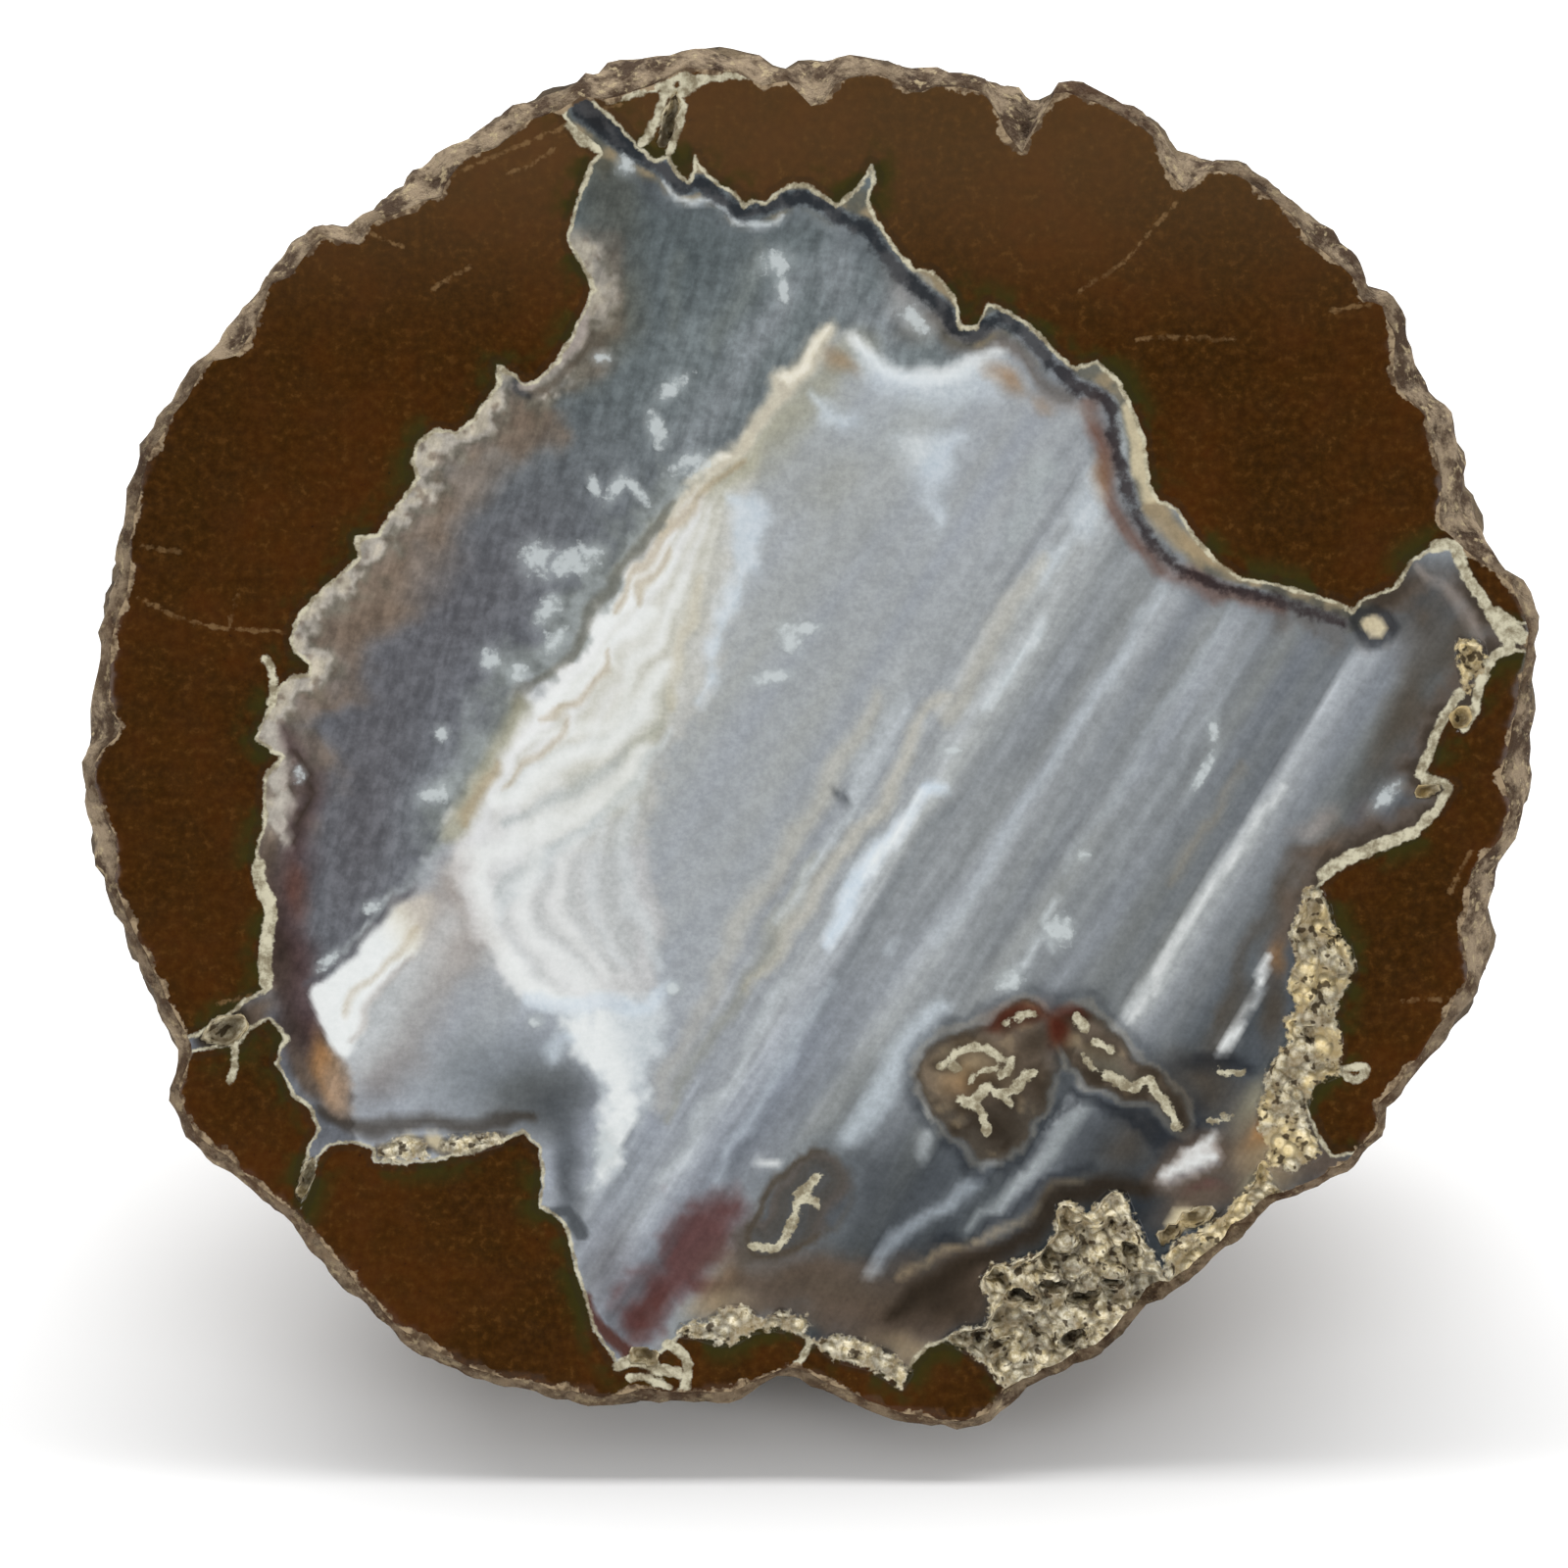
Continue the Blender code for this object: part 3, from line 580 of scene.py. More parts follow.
for middle, half_length, half_width, deep, turned in PITS:
    q = ellipse(bent, middle, half_length, half_width, turned)
    sunk = np.maximum(sunk, deep * np.sqrt(np.clip(1 - q ** 2, 0, 1)))
hollow = np.zeros(len(place))
hollow[front] = sunk
place[front, 2] = np.minimum(place[front, 2], -sunk * MM)
set_points(stone, place)
print("deepest hollow", round(float(sunk.max()), 2), "mm; crust over", int((crusted > 0.5).sum()), "points")

# %% [markdown]
# ## Painting the agate
# Chalcedony is laid down in coats, so its pattern is bands: level ones where the silica settled like
# mud, and wavy ones around an old surface. A grey tone follows the bands by formula, and lines and soft
# washes lay the milky, tan, rusty and smoky places over it. The colours are mixed as the eye
# sees them, in display values, and turned to linear light at the very end. A little noise bends every
# edge, so nothing looks ruled.

# %% Palette and brushes
PALETTE = {
    "milk": (229, 232, 231), "ivory": (235, 230, 214), "pearl": (202, 209, 212), "frost": (206, 217, 226),
    "mist": (166, 173, 174), "blue mist": (156, 165, 176), "dove": (136, 142, 146),
    "slate": (104, 110, 115), "plum slate": (89, 88, 92), "deep slate": (70, 74, 78), "ink": (30, 33, 38),
    "olive slate": (88, 86, 74), "clay": (160, 150, 143), "blush": (136, 118, 101),
    "cream": (206, 193, 160), "sand": (164, 145, 113), "olive sand": (150, 147, 124),
    "amber": (146, 104, 62), "rust": (104, 50, 28), "maroon": (88, 54, 52), "cocoa": (92, 78, 66),
    "smoke": (74, 66, 56), "bitter": (44, 36, 27), "wine": (66, 26, 16), "oat": (198, 191, 172),
    "ash": (174, 168, 158), "moss": (120, 126, 122), "plum brown": (74, 58, 58),
}
LATTICE_NOISE = np.random.default_rng(11).random((64, 64))
PAINT_MARGIN = 1.2                          # mm outside the agate that are painted too
BEND, BEND_SIZE = 0.45, 2.6                 # mm, how far noise bends the edges, and over what length
SHARPEST, SHARP = 0.17, 0.32                # mm, softness that the finest and the wider mesh can show


def cloud(x, y, octaves=3):
    """Soft noise from about -1 to 1, with finer and fainter detail in each octave."""
    total, weight = np.zeros(len(x)), 1.0
    for octave in range(octaves):
        column, row = np.floor(x).astype(int), np.floor(y).astype(int)
        fx, fy = x - column, y - row
        fx, fy = fx * fx * (3 - 2 * fx), fy * fy * (3 - 2 * fy)
        corner = [LATTICE_NOISE[(column + i) % 64, (row + j) % 64] for i in (0, 1) for j in (0, 1)]
        total += weight * (mix(mix(corner[0], corner[1], fy), mix(corner[2], corner[3], fy), fx) * 2 - 1)
        x, y, weight = x * 2.03 + 17.1, y * 2.03 + 5.7, weight * 0.5
    return total


agate_in = np.full(len(place), -FAR)
agate_in[on_cut] = depth_in(AGATE_EDGE, spots[on_cut])
canvas = np.flatnonzero(on_cut & (agate_in > -PAINT_MARGIN))
face_spots = spots[canvas]
S, T = face_spots.T                         # to the right and up on the face, in mm
inset = agate_in[canvas]
warped = np.column_stack((S + BEND * cloud(S / BEND_SIZE, T / BEND_SIZE),
                          T + BEND * cloud(S / BEND_SIZE + 31, T / BEND_SIZE + 9)))
paint = np.zeros((len(canvas), 3))
finely = np.abs(inset - SKIN_IN) < LINE_MARGIN
for outline in FINE_PLACES:
    finely |= inside(outline, face_spots)
sharpest = np.where(finely, SHARPEST, SHARP)
shown = np.ones(len(canvas))                # share of the bands that shows through what is laid over them


def lay(colour, cover, hide=1.0):
    """Lays a colour over the painting, as thick as cover says from 0 to 1, and hides the bands under it."""
    paint[:] += (np.array(PALETTE[colour], float) - paint) * cover[:, None]
    shown[:] *= 1 - hide * cover


def wash(colour, middle, half_length, half_width, turn=0, strength=1.0, soft=0.8):
    """A soft oval patch."""
    q = ellipse(warped, middle, half_length, half_width, turn)
    lay(colour, strength * (1 - smooth(q, 1 - soft, 1 + soft * 0.4)), 0.3)


def stroke(colour, points, width, strength=1.0, soft=0.45, taper=0.0):
    """A brush line of a width in mm, with a soft edge, and drawn out to a point at its ends by taper."""
    distance, along = to_line(rounded(points), warped, width * 1.5 + 0.6)
    half = width / 2 * (1 - taper * (1 - np.sqrt(np.clip(np.sin(along * math.pi), 0, 1))))
    edge = np.maximum(half * soft, sharpest)
    lay(colour, strength * (1 - smooth(distance, half - edge, half + edge)))


def patch(colour, outline, strength=1.0, low=-0.3, high=0.3, rough=0.0):
    """A filled shape whose edge fades from low to high in mm, and is roughened by noise."""
    within = depth_in(rounded(list(outline) + [outline[0]])[:-1], warped, 8)
    within += rough * cloud(S / 1.1, T / 1.1, 2)
    lay(colour, strength * smooth(within, low, high))
    return within


# %% Level bands
LEVEL_TURN = math.radians(57)
ACROSS = S * math.sin(LEVEL_TURN) - T * math.cos(LEVEL_TURN)
ALONG = S * math.cos(LEVEL_TURN) + T * math.sin(LEVEL_TURN)
ACROSS += 0.35 * cloud(ACROSS / 3.0, ALONG / 22, 2) + 0.12 * cloud(ACROSS / 0.9, ALONG / 6, 2)

# Where each band lies across the stone in mm, and its grey
LEVEL_BANDS = [
    (-12, 166), (-6, 163), (-4, 158), (-2, 163), (0, 158), (1.4, 163), (2.4, 160), (3.0, 152), (3.6, 168),
    (4.2, 150), (5.0, 168), (5.8, 158), (6.6, 172), (7.6, 178), (8.4, 166), (9.0, 148), (9.8, 138),
    (10.6, 148), (11.2, 143), (12.0, 139), (12.8, 156), (13.4, 163), (14.2, 152), (15.0, 142),
    (15.8, 134), (16.6, 140), (17.2, 132), (18.0, 150), (18.8, 151), (19.6, 140), (20.4, 136),
    (21.2, 128), (22.0, 136), (23.0, 124), (24.0, 116), (25.0, 114), (26.5, 116), (27.0, 182),
    (27.6, 162), (28.6, 142), (29.8, 122), (30.8, 104), (31.8, 92), (33, 84), (36, 88),
]
across, band_tone = np.array(LEVEL_BANDS, float).T
tone = np.interp(ACROSS, across, band_tone)
streaky = cloud(ACROSS / 0.8, ALONG / 24, 3)
tone += (3.5 + 3 * smooth(-ALONG, 4, 16)) * streaky * smooth(ACROSS, 1, 7) + 3 * cloud(S / 3, T / 3, 3)
sunk_low = smooth(-ALONG, 6, 26) * smooth(ACROSS, 12, 22)
tone -= 54 * sunk_low + 14 * smooth(-T, 14, 26) * smooth(ACROSS, -2, 8)
lilac = 2 + 3 * cloud(ACROSS / 1.7 + 9, ALONG / 20, 2)
lilac += 4 * smooth(-T, 4, 26) * smooth(18 - ACROSS, 0, 12)
level_tint = np.column_stack((tone - 4 - lilac * 0.25, tone, tone + 1 + lilac))
print("level bands:", len(LEVEL_BANDS), "across", np.round([ACROSS.min(), ACROSS.max()], 1), "mm")

# %% Upper left lobe
# Smoky slate, where the bands hardly show, with a frosted fringe along the rock
PLUME_EDGE = [
    (26.0, 33.0), (16.0, 28.6), (12.6, 28.2), (11.2, 27.2), (9.6, 26.4), (7.6, 26.1), (5.8, 26.5),
    (4.6, 27.4), (3.0, 28.1), (1.4, 28.6), (-0.7, 26.3), (-2.3, 24.1), (-4.5, 21.6), (-6.8, 19.4),
    (-9.0, 17.2), (-10.6, 15.4), (-12.4, 13.0), (-13.4, 11.2), (-15.1, 10.0), (-15.6, 7.6), (-17.2, 6.0),
    (-19.6, 5.8), (-20.2, 3.4), (-22.2, -0.3), (-23.5, -2.7), (-24.4, -4.3), (-26.0, -6.8), (-27.3, -8.6),
    (-29.1, -10.6), (-30.5, -12.2), (-31.8, -13.7), (-34.0, -15.4), (-33.3, -17.0), (-32.3, -19.0),
    (-31.0, -21.2), (-30.6, -24.8), (-30.6, -60.0), (60.0, -60.0), (60.0, 33.0),
]
rough_edge = 0.4 * cloud(S / 0.9 + 3, T / 0.9, 3)
plume_in = depth_in(PLUME_EDGE, warped, 40) + rough_edge
lobe_streak = cloud((S - 0.35 * T) / 0.7, (T + 0.35 * S) / 7, 3)
lobe_tone = 108 + 6 * cloud(S / 4, T / 4, 4) + 3 * lobe_streak
lobe_tone += 8 * smooth(S, -14, 0)
lobe_tone -= 12 * smooth(T, 26, 34)
high_up = smooth(T, 8, 28)
lobe_tint = np.column_stack((lobe_tone - 3 - 5 * high_up, lobe_tone, lobe_tone + 6 - 4 * high_up))
paint[:] = mix(lobe_tint, level_tint, smooth(plume_in, -0.15, 0.15)[:, None])

LOBE_WASHES = [
    ("plum slate", (-24.0, 10.0), 5.0, 15.0, -38, 0.6, 1.0),
    ("plum slate", (-30.0, -3.0), 3.4, 10.0, -8, 0.8, 1.0),
    ("dove", (-25.2, -1.0), 1.6, 6.0, -30, 0.35),
    ("olive slate", (-13.4, 37.5), 2.6, 5.0, 8, 0.45),
    ("olive slate", (-13.6, 29.0), 2.2, 4.6, -22, 0.75),
    ("deep slate", (-11.0, 38.6), 3.2, 1.2, -40, 0.5),
    ("dove", (-5.4, 26.6), 1.3, 9.0, -36, 0.35),
    ("dove", (2.0, 32.4), 1.8, 3.6, -15, 0.65),
    ("dove", (-1.4, 30.2), 1.0, 5.0, -30, 0.4),
]
for mark in LOBE_WASHES:
    wash(*mark)
stroke("dove", [(-1.4, 31.6), (-3.0, 28.6), (-4.8, 25.6), (-6.6, 23.0), (-8.2, 20.4)], 1.6, 0.6, 1.0, 0.3)
stroke("moss", [(-3.4, 34.6), (-4.6, 31.0), (-6.4, 27.6)], 1.4, 0.45, 1.0, 0.5)
stroke("moss", [(-9.0, 33.6), (-8.8, 30.6), (-9.4, 28.4)], 1.0, 0.4, 1.0, 0.5)
LOBE_RIM_WASHES = [
    ("mist", (1.2, 35.9), 2.2, 0.9, -20, 0.55),
    ("dove", (4.4, 29.0), 2.6, 2.4, -20, 0.7),
    ("clay", (6.6, 30.6), 1.7, 3.0, 38, 0.6),
    ("cocoa", (8.6, 29.0), 2.0, 1.2, -10, 0.7),
    ("smoke", (6.9, 28.2), 1.8, 0.7, -20, 0.4),
    ("cocoa", (-19.2, 22.6), 2.4, 1.4, 30, 0.7),
    ("blush", (-23.0, 18.2), 5.2, 2.0, 48, 0.6),
    ("blush", (-28.6, 11.4), 6.4, 3.0, 38, 0.7),
    ("cocoa", (-30.4, 8.6), 4.6, 1.5, 22, 0.5),
    ("blush", (-33.6, 4.2), 1.6, 1.8, 0, 0.6),
]
for mark in LOBE_RIM_WASHES:
    wash(*mark)
stroke("cocoa", [(-36.6, -5.0), (-36.4, -8.0), (-35.8, -11.0), (-36.0, -14.6)], 2.4, 0.9, 1.0)
LEFT_EDGE_WASHES = [
    ("plum brown", (-34.2, -5.6), 1.7, 5.0, -4, 0.7, 1.0),
    ("rust", (-34.2, -8.4), 1.0, 2.6, 12, 0.5, 1.0),
    ("plum brown", (-34.7, -12.6), 1.8, 5.8, 6, 1.0, 1.0),
    ("bitter", (-35.4, -12.4), 0.9, 4.8, 4, 0.5, 1.0),
    ("plum brown", (-34.2, -17.6), 1.8, 3.0, 12, 0.95, 1.0),
    ("bitter", (-34.9, -18.0), 0.9, 2.6, 12, 0.5, 1.0),
    ("cocoa", (-37.6, -17.2), 1.9, 0.9, 30, 0.9),
    ("amber", (-32.4, -20.8), 1.2, 3.4, 18, 0.9, 0.7),
    ("clay", (-32.0, -21.8), 0.9, 2.2, 18, 0.5, 1.0),
    ("cocoa", (-33.9, -20.8), 0.8, 2.4, 24, 0.85),
]
for mark in LEFT_EDGE_WASHES:
    wash(*mark)
left_side = smooth(-S, 13, 16) * smooth(T, -6, -2) * (1 - smooth(T, 24, 26))
left_side = np.maximum(left_side, smooth(-S, 12, 13) * smooth(T, 24, 26) * (1 - smooth(T, 34, 36)) * 0.7)
ragged = inset + 1.0 * cloud(S / 1.0, T / 1.0, 3)
tinge = inset + 1.8 * cloud(S / 2.4, T / 2.4, 3)
lay("blush", left_side * 0.55 * (1 - smooth(tinge, 1.4, 5.0)))
lay("cocoa", left_side * 0.35 * smooth(tinge, 0.8, 2.0) * (1 - smooth(tinge, 2.0, 3.6)))
lay("ash", left_side * 0.9 * (1 - smooth(ragged, 0.9, 1.9)))
lay("olive slate", left_side * 0.5 * smooth(ragged, 0.9, 1.4) * (1 - smooth(ragged, 1.5, 2.2)))
lay("cream", left_side * 0.3 * (1 - smooth(ragged, 0.1, 0.8)))
dotted = smooth(cloud(S / 0.55, T / 0.55, 2), 0.25, 0.7)
lay("cocoa", left_side * 0.5 * dotted * (1 - smooth(ragged, 1.2, 2.0)))
print("left lobe painted over", int((plume_in < 0).sum()), "points")

# %% Lower left and the low middle
LOWER_LEFT_WASHES = [
    ("clay", (-25.0, -12.0), 2.4, 5.0, -32, 0.85, 1.0),
    ("dove", (-25.4, -18.6), 6.5, 4.4, -42, 0.7, 1.0),
    ("blue mist", (-24.4, -17.4), 1.2, 4.4, -30, 0.7, 1.0),
    ("plum slate", (-28.6, -21.0), 1.8, 3.5, -25, 0.5, 1.0),
    ("slate", (-19.6, -21.4), 5.8, 3.6, 8, 0.9, 1.0),
    ("olive slate", (-18.4, -22.6), 3.6, 2.6, 10, 0.4, 1.0),
    ("deep slate", (-17.4, -23.0), 3.6, 2.8, 12, 0.8, 1.0),
    ("deep slate", (-16.4, -27.2), 1.3, 4.2, 4, 0.8, 1.0),
    ("dove", (-12.3, -27.0), 1.8, 3.2, -12, 0.4, 1.0),
    ("plum slate", (-13.6, -34.0), 2.0, 4.2, -10, 0.6, 1.0),
]
for mark in LOWER_LEFT_WASHES:
    wash(*mark)
MAROON = [
    (-8.0, -29.5), (-4.8, -30.2), (-5.2, -31.6), (-6.9, -34.5), (-9.1, -35.9), (-10.5, -37.7),
    (-12.3, -38.6), (-13.0, -36.7), (-11.2, -34.5), (-9.8, -32.4), (-9.1, -30.9),
]
patch("maroon", MAROON, 0.85, -1.5, 1.0, 0.8)
wash("wine", (-11.0, -37.0), 1.0, 2.6, -38, 0.35, 1.0)
stroke("plum slate", [(-9.0, -31.0), (-11.4, -34.8), (-13.4, -37.0)], 0.6, 0.5, 1.0, 0.3)
shown *= 1 - 0.85 * smooth(-T - 0.35 * S, 32.0, 35.5)
BROWN_WASHES = [
    ("amber", (-5.6, -34.8), 1.3, 3.0, -42, 0.6, 1.0),
    ("cocoa", (-2.4, -34.0), 5.4, 2.0, -6, 0.75, 1.0),
    ("cocoa", (4.0, -36.0), 5.4, 2.2, -8, 0.9, 1.0),
    ("smoke", (8.0, -35.4), 5.4, 2.6, 14, 0.9, 1.0),
    ("bitter", (10.4, -35.6), 4.2, 2.4, 22, 0.85, 1.0),
]
for mark in BROWN_WASHES:
    wash(*mark)
BROWN_LOW = [
    (-5.2, -33.6), (-1.0, -33.4), (3.0, -33.8), (7.0, -33.6), (10.0, -32.6), (12.0, -32.0), (12.0, -36.0),
    (9.0, -38.8), (6.2, -41.0), (3.0, -39.4), (-0.5, -37.6), (-4.0, -37.4), (-7.2, -37.6),
]
patch("cocoa", BROWN_LOW, 0.8, -1.6, 1.4, 0.8)
LOW_WASHES = [
    ("bitter", (8.6, -36.0), 4.2, 2.0, 16, 0.75, 1.0),
    ("smoke", (1.6, -35.4), 5.0, 1.2, -6, 0.5, 1.0),
    ("sand", (6.6, -39.6), 2.6, 1.2, -14, 0.6, 1.0),
    ("sand", (-6.2, -36.6), 2.6, 1.2, 8, 0.6, 1.0),
    ("deep slate", (3.6, -28.6), 1.6, 3.0, -30, 0.7, 1.0),
    ("slate", (8.6, -29.4), 5.0, 2.2, 30, 0.6, 1.0),
    ("deep slate", (6.4, -30.4), 5.4, 4.4, 30, 0.6, 1.0),
    ("deep slate", (20.6, -25.0), 5.2, 3.4, 14, 0.9, 1.0),
    ("deep slate", (17.4, -25.4), 1.6, 3.4, -16, 0.6, 1.0),
    ("smoke", (21.2, -25.6), 2.4, 1.8, 30, 0.65, 1.0),
    ("smoke", (25.4, -21.4), 3.4, 2.6, 0, 0.8),
    ("ink", (26.2, -19.9), 2.6, 0.9, 0, 0.65),
    ("smoke", (27.6, -17.6), 1.2, 3.4, -28, 0.5),
    ("cocoa", (31.6, -11.0), 1.1, 5.0, -8, 0.8),
    ("amber", (31.4, -13.4), 0.7, 1.2, 0, 0.5),
    ("smoke", (30.8, -17.0), 1.0, 2.4, -10, 0.8),
    ("cocoa", (30.6, -25.0), 3.6, 5.0, -40, 0.95),
]
for mark in LOW_WASHES:
    wash(*mark)
shown *= 1 - 0.9 * smooth(ACROSS, 35, 37.5)
RIGHT_EDGE_WASHES = [
    ("sand", (31.4, -25.2), 2.6, 4.6, -32, 0.9, 1.0),
    ("olive sand", (29.4, -22.6), 1.2, 2.4, -32, 0.6, 1.0),
    ("amber", (30.8, -24.4), 1.9, 1.0, 35, 0.8),
    ("cocoa", (34.6, -27.4), 3.0, 2.0, 0, 0.8),
    ("smoke", (33.6, -25.4), 1.3, 2.2, -30, 0.7),
    ("olive sand", (29.4, -28.4), 1.5, 0.9, 35, 0.7),
    ("cocoa", (26.0, -29.4), 3.6, 1.6, 20, 0.9),
    ("maroon", (26.2, -28.6), 1.6, 0.5, 10, 0.5),
    ("plum slate", (37.5, -3.2), 1.8, 1.4, 30, 0.8),
    ("cocoa", (34.0, -5.6), 2.4, 0.9, 25, 0.8),
    ("clay", (33.6, -4.0), 2.2, 0.8, 35, 0.6),
    ("slate", (40.0, 12.2), 4.0, 3.2, 40, 0.8, 1.0),
    ("deep slate", (40.4, 11.2), 3.4, 2.4, 50, 0.85, 1.0),
]
for mark in RIGHT_EDGE_WASHES:
    wash(*mark)
halo = smooth(S, 29.5, 31.5) * smooth(T, -22, -18) * (1 - smooth(T, 11, 14))
lay("cocoa", 0.75 * halo * (1 - smooth(inset + 0.8 * cloud(S / 1.2, T / 1.2, 3), 0.8, 3.2)), 0.8)
lay("bitter", 0.55 * halo * (1 - smooth(inset + 0.6 * cloud(S / 0.9 + 7, T / 0.9, 3), 0.4, 1.6)), 0.9)
wash("smoke", (39.4, 3.4), 1.6, 6.4, -26, 0.8, 1.0)
wash("smoke", (40.6, 9.4), 2.0, 3.4, -20, 0.6, 1.0)
wash("smoke", (42.6, 8.0), 1.0, 2.4, -20, 0.6)
print("washes laid")

# %% Folds of the plume
# The milky plume is laid in folds that run between its outer edge and the clear middle of the agate
OUTER_FOLD = [
    (1.4, 28.4), (-4.5, 21.6), (-9.0, 17.2), (-12.6, 12.8), (-15.2, 9.4), (-17.6, 5.6), (-20.4, 2.8),
    (-22.4, -0.8), (-24.0, -4.3), (-24.0, -7.0), (-23.4, -10.0), (-22.2, -13.0), (-19.6, -15.6),
    (-15.4, -16.8),
]
INNER_FOLD = [
    (-1.6, 22.6), (-3.6, 18.4), (-4.0, 13.6), (-5.0, 8.0), (-6.2, 4.6), (-8.4, 2.0), (-9.8, -1.0),
    (-10.6, -4.6), (-10.2, -8.4), (-9.8, -12.0), (-9.9, -15.2),
]
UPPER_FOLDS = [
    (0.00, 228), (0.14, 232), (0.20, 208), (0.27, 224), (0.35, 204), (0.44, 214), (0.52, 192),
    (0.60, 202), (0.70, 184), (0.78, 194), (0.88, 182), (1.00, 172),
]
LOWER_FOLDS = [
    (0.00, 214), (0.10, 220), (0.18, 206), (0.27, 214), (0.36, 199), (0.46, 208), (0.56, 194),
    (0.66, 200), (0.76, 186), (0.86, 190), (1.00, 168),
]
near, run = to_line(rounded(OUTER_FOLD), warped)
far = to_line(rounded(INNER_FOLD), warped)[0]
fold = near / (near + far) + 0.03 * cloud(S / 2.4, T / 2.4, 2)
in_plume = smooth(depth_in(OUTER_FOLD + INNER_FOLD[::-1], warped, 30) + rough_edge, -0.5, 0.7)
lower = smooth(run, 0.56, 0.74)
upper_tone = np.interp(fold, *np.array(UPPER_FOLDS).T)
lower_tone = np.interp(fold, *np.array(LOWER_FOLDS).T)
fold_tone = mix(upper_tone, lower_tone, lower)
fold_tone += 3 * cloud(S / 1.4, T / 1.4, 2)
warm = smooth(228 - fold_tone, 4, 30) * (1 - smooth(fold, 0.5, 0.9)) * (1 - 0.8 * lower)
fold_tint = np.column_stack((fold_tone + 2 * warm, fold_tone + 1, fold_tone - 9 * warm + 3 * lower))
in_plume *= smooth(run, 0.02, 0.2)
paint[:] += (fold_tint - paint) * (in_plume * 0.93)[:, None]
# Single folds: colour, width in mm, strength and the line that each one follows
FOLDS = [
    ("mist", 1.0, 0.7, [(-11.4, 3.6), (-12.8, 1.9), (-15.0, 0.9), (-17.6, -0.2), (-20.0, -2.0)]),
    ("mist", 0.9, 0.75, [(-10.4, 2.4), (-12.2, 0.1), (-14.4, -1.3), (-17.4, -2.6), (-20.6, -4.4)]),
    ("mist", 0.8, 0.7, [(-11.4, -1.2), (-13.4, -3.7), (-16.2, -5.0), (-19.2, -6.8), (-21.4, -8.8)]),
    ("oat", 0.9, 0.7, [(-7.3, 12.7), (-7.8, 10.1), (-8.8, 7.7), (-9.6, 5.4), (-9.6, 3.3)]),
    ("olive sand", 1.8, 0.55, [(-9.9, 4.8), (-10.9, 2.0), (-11.5, -0.4), (-12.5, -2.5), (-13.3, -3.5)]),
    ("milk", 1.8, 0.95, [(-9.6, 13.7), (-10.7, 12.7), (-12.0, 11.4), (-13.3, 10.1), (-14.6, 9.0),
                         (-15.4, 7.7)]),
    ("milk", 1.5, 0.9, [(-10.9, 9.8), (-12.2, 8.7), (-13.3, 7.7), (-14.1, 6.4), (-15.1, 5.4),
                        (-16.7, 4.3), (-18.3, 3.7)]),
    ("milk", 1.0, 0.7, [(-8.3, 12.7), (-9.3, 10.3), (-10.4, 8.4), (-11.7, 6.9), (-12.2, 5.4),
                        (-12.3, 3.8), (-13.6, 2.6), (-15.6, 2.2), (-17.5, 2.0), (-19.0, 1.4)]),
    ("milk", 1.7, 0.95, [(-9.9, 6.4), (-10.9, 3.8), (-12.0, 2.5), (-13.3, 1.4), (-15.4, 0.5),
                         (-17.5, -0.6), (-19.3, -2.0), (-20.9, -2.5)]),
    ("milk", 1.9, 0.85, [(-10.9, 0.7), (-12.3, -1.2), (-13.8, -2.5), (-16.7, -3.7), (-19.3, -5.2),
                         (-21.4, -6.4), (-23.0, -6.1)]),
    ("pearl", 1.0, 0.7, [(-9.6, 1.7), (-10.7, -0.4), (-12.3, -2.7), (-14.4, -4.3), (-16.7, -5.8),
                         (-19.1, -7.6), (-21.2, -9.3), (-22.0, -11.7)]),
    ("sand", 0.6, 0.6, [(-9.5, 14.2), (-10.7, 12.9), (-11.6, 11.4), (-11.7, 10.3)]),
    ("sand", 0.5, 0.6, [(-13.3, 7.2), (-13.8, 5.6), (-15.4, 4.1), (-17.0, 3.3), (-18.4, 3.1)]),
    ("sand", 0.5, 0.5, [(-16.4, 3.0), (-17.5, 0.7), (-19.1, -0.4), (-20.1, -1.4)]),
    ("mist", 1.0, 0.25, [(-20.6, -7.2), (-21.0, -9.6), (-20.4, -12.0), (-18.8, -14.0), (-16.4, -15.5)]),
    ("mist", 1.1, 0.25, [(-17.2, -6.6), (-18.3, -8.6), (-18.0, -11.2), (-16.6, -13.0), (-14.6, -14.7)]),
    ("mist", 1.1, 0.3, [(-15.0, -5.8), (-15.8, -8.0), (-15.4, -10.8), (-14.2, -12.9), (-12.8, -14.0)]),
    ("mist", 1.2, 0.4, [(-12.9, -4.6), (-13.6, -7.0), (-13.2, -10.0), (-11.9, -12.6)]),
    ("pearl", 1.0, 0.6, [(-11.7, -3.0), (-12.5, -5.4), (-12.6, -7.3), (-12.1, -9.7), (-10.5, -12.0),
                         (-9.9, -13.2)]),
    ("pearl", 0.9, 0.5, [(-13.8, -4.6), (-14.6, -6.9), (-14.4, -9.3), (-13.7, -11.7), (-12.1, -13.6)]),
    ("milk", 1.2, 0.45, [(-15.8, -5.4), (-16.8, -7.3), (-16.9, -9.3), (-16.4, -11.3), (-15.0, -13.2),
                         (-13.5, -14.4)]),
    ("milk", 1.4, 0.6, [(-18.0, -5.8), (-19.4, -7.7), (-19.7, -9.7), (-18.8, -12.0), (-17.2, -13.8),
                        (-15.0, -15.0), (-13.9, -15.6)]),
    ("milk", 1.3, 0.9, [(-22.3, -6.5), (-22.3, -9.3), (-21.6, -12.0), (-20.2, -14.0), (-17.8, -15.6),
                        (-15.0, -16.2)]),
]
for colour, width, strength, points in FOLDS:
    stroke(colour, points, width, strength, 0.9, 0.45)
shown[:] = 1.0
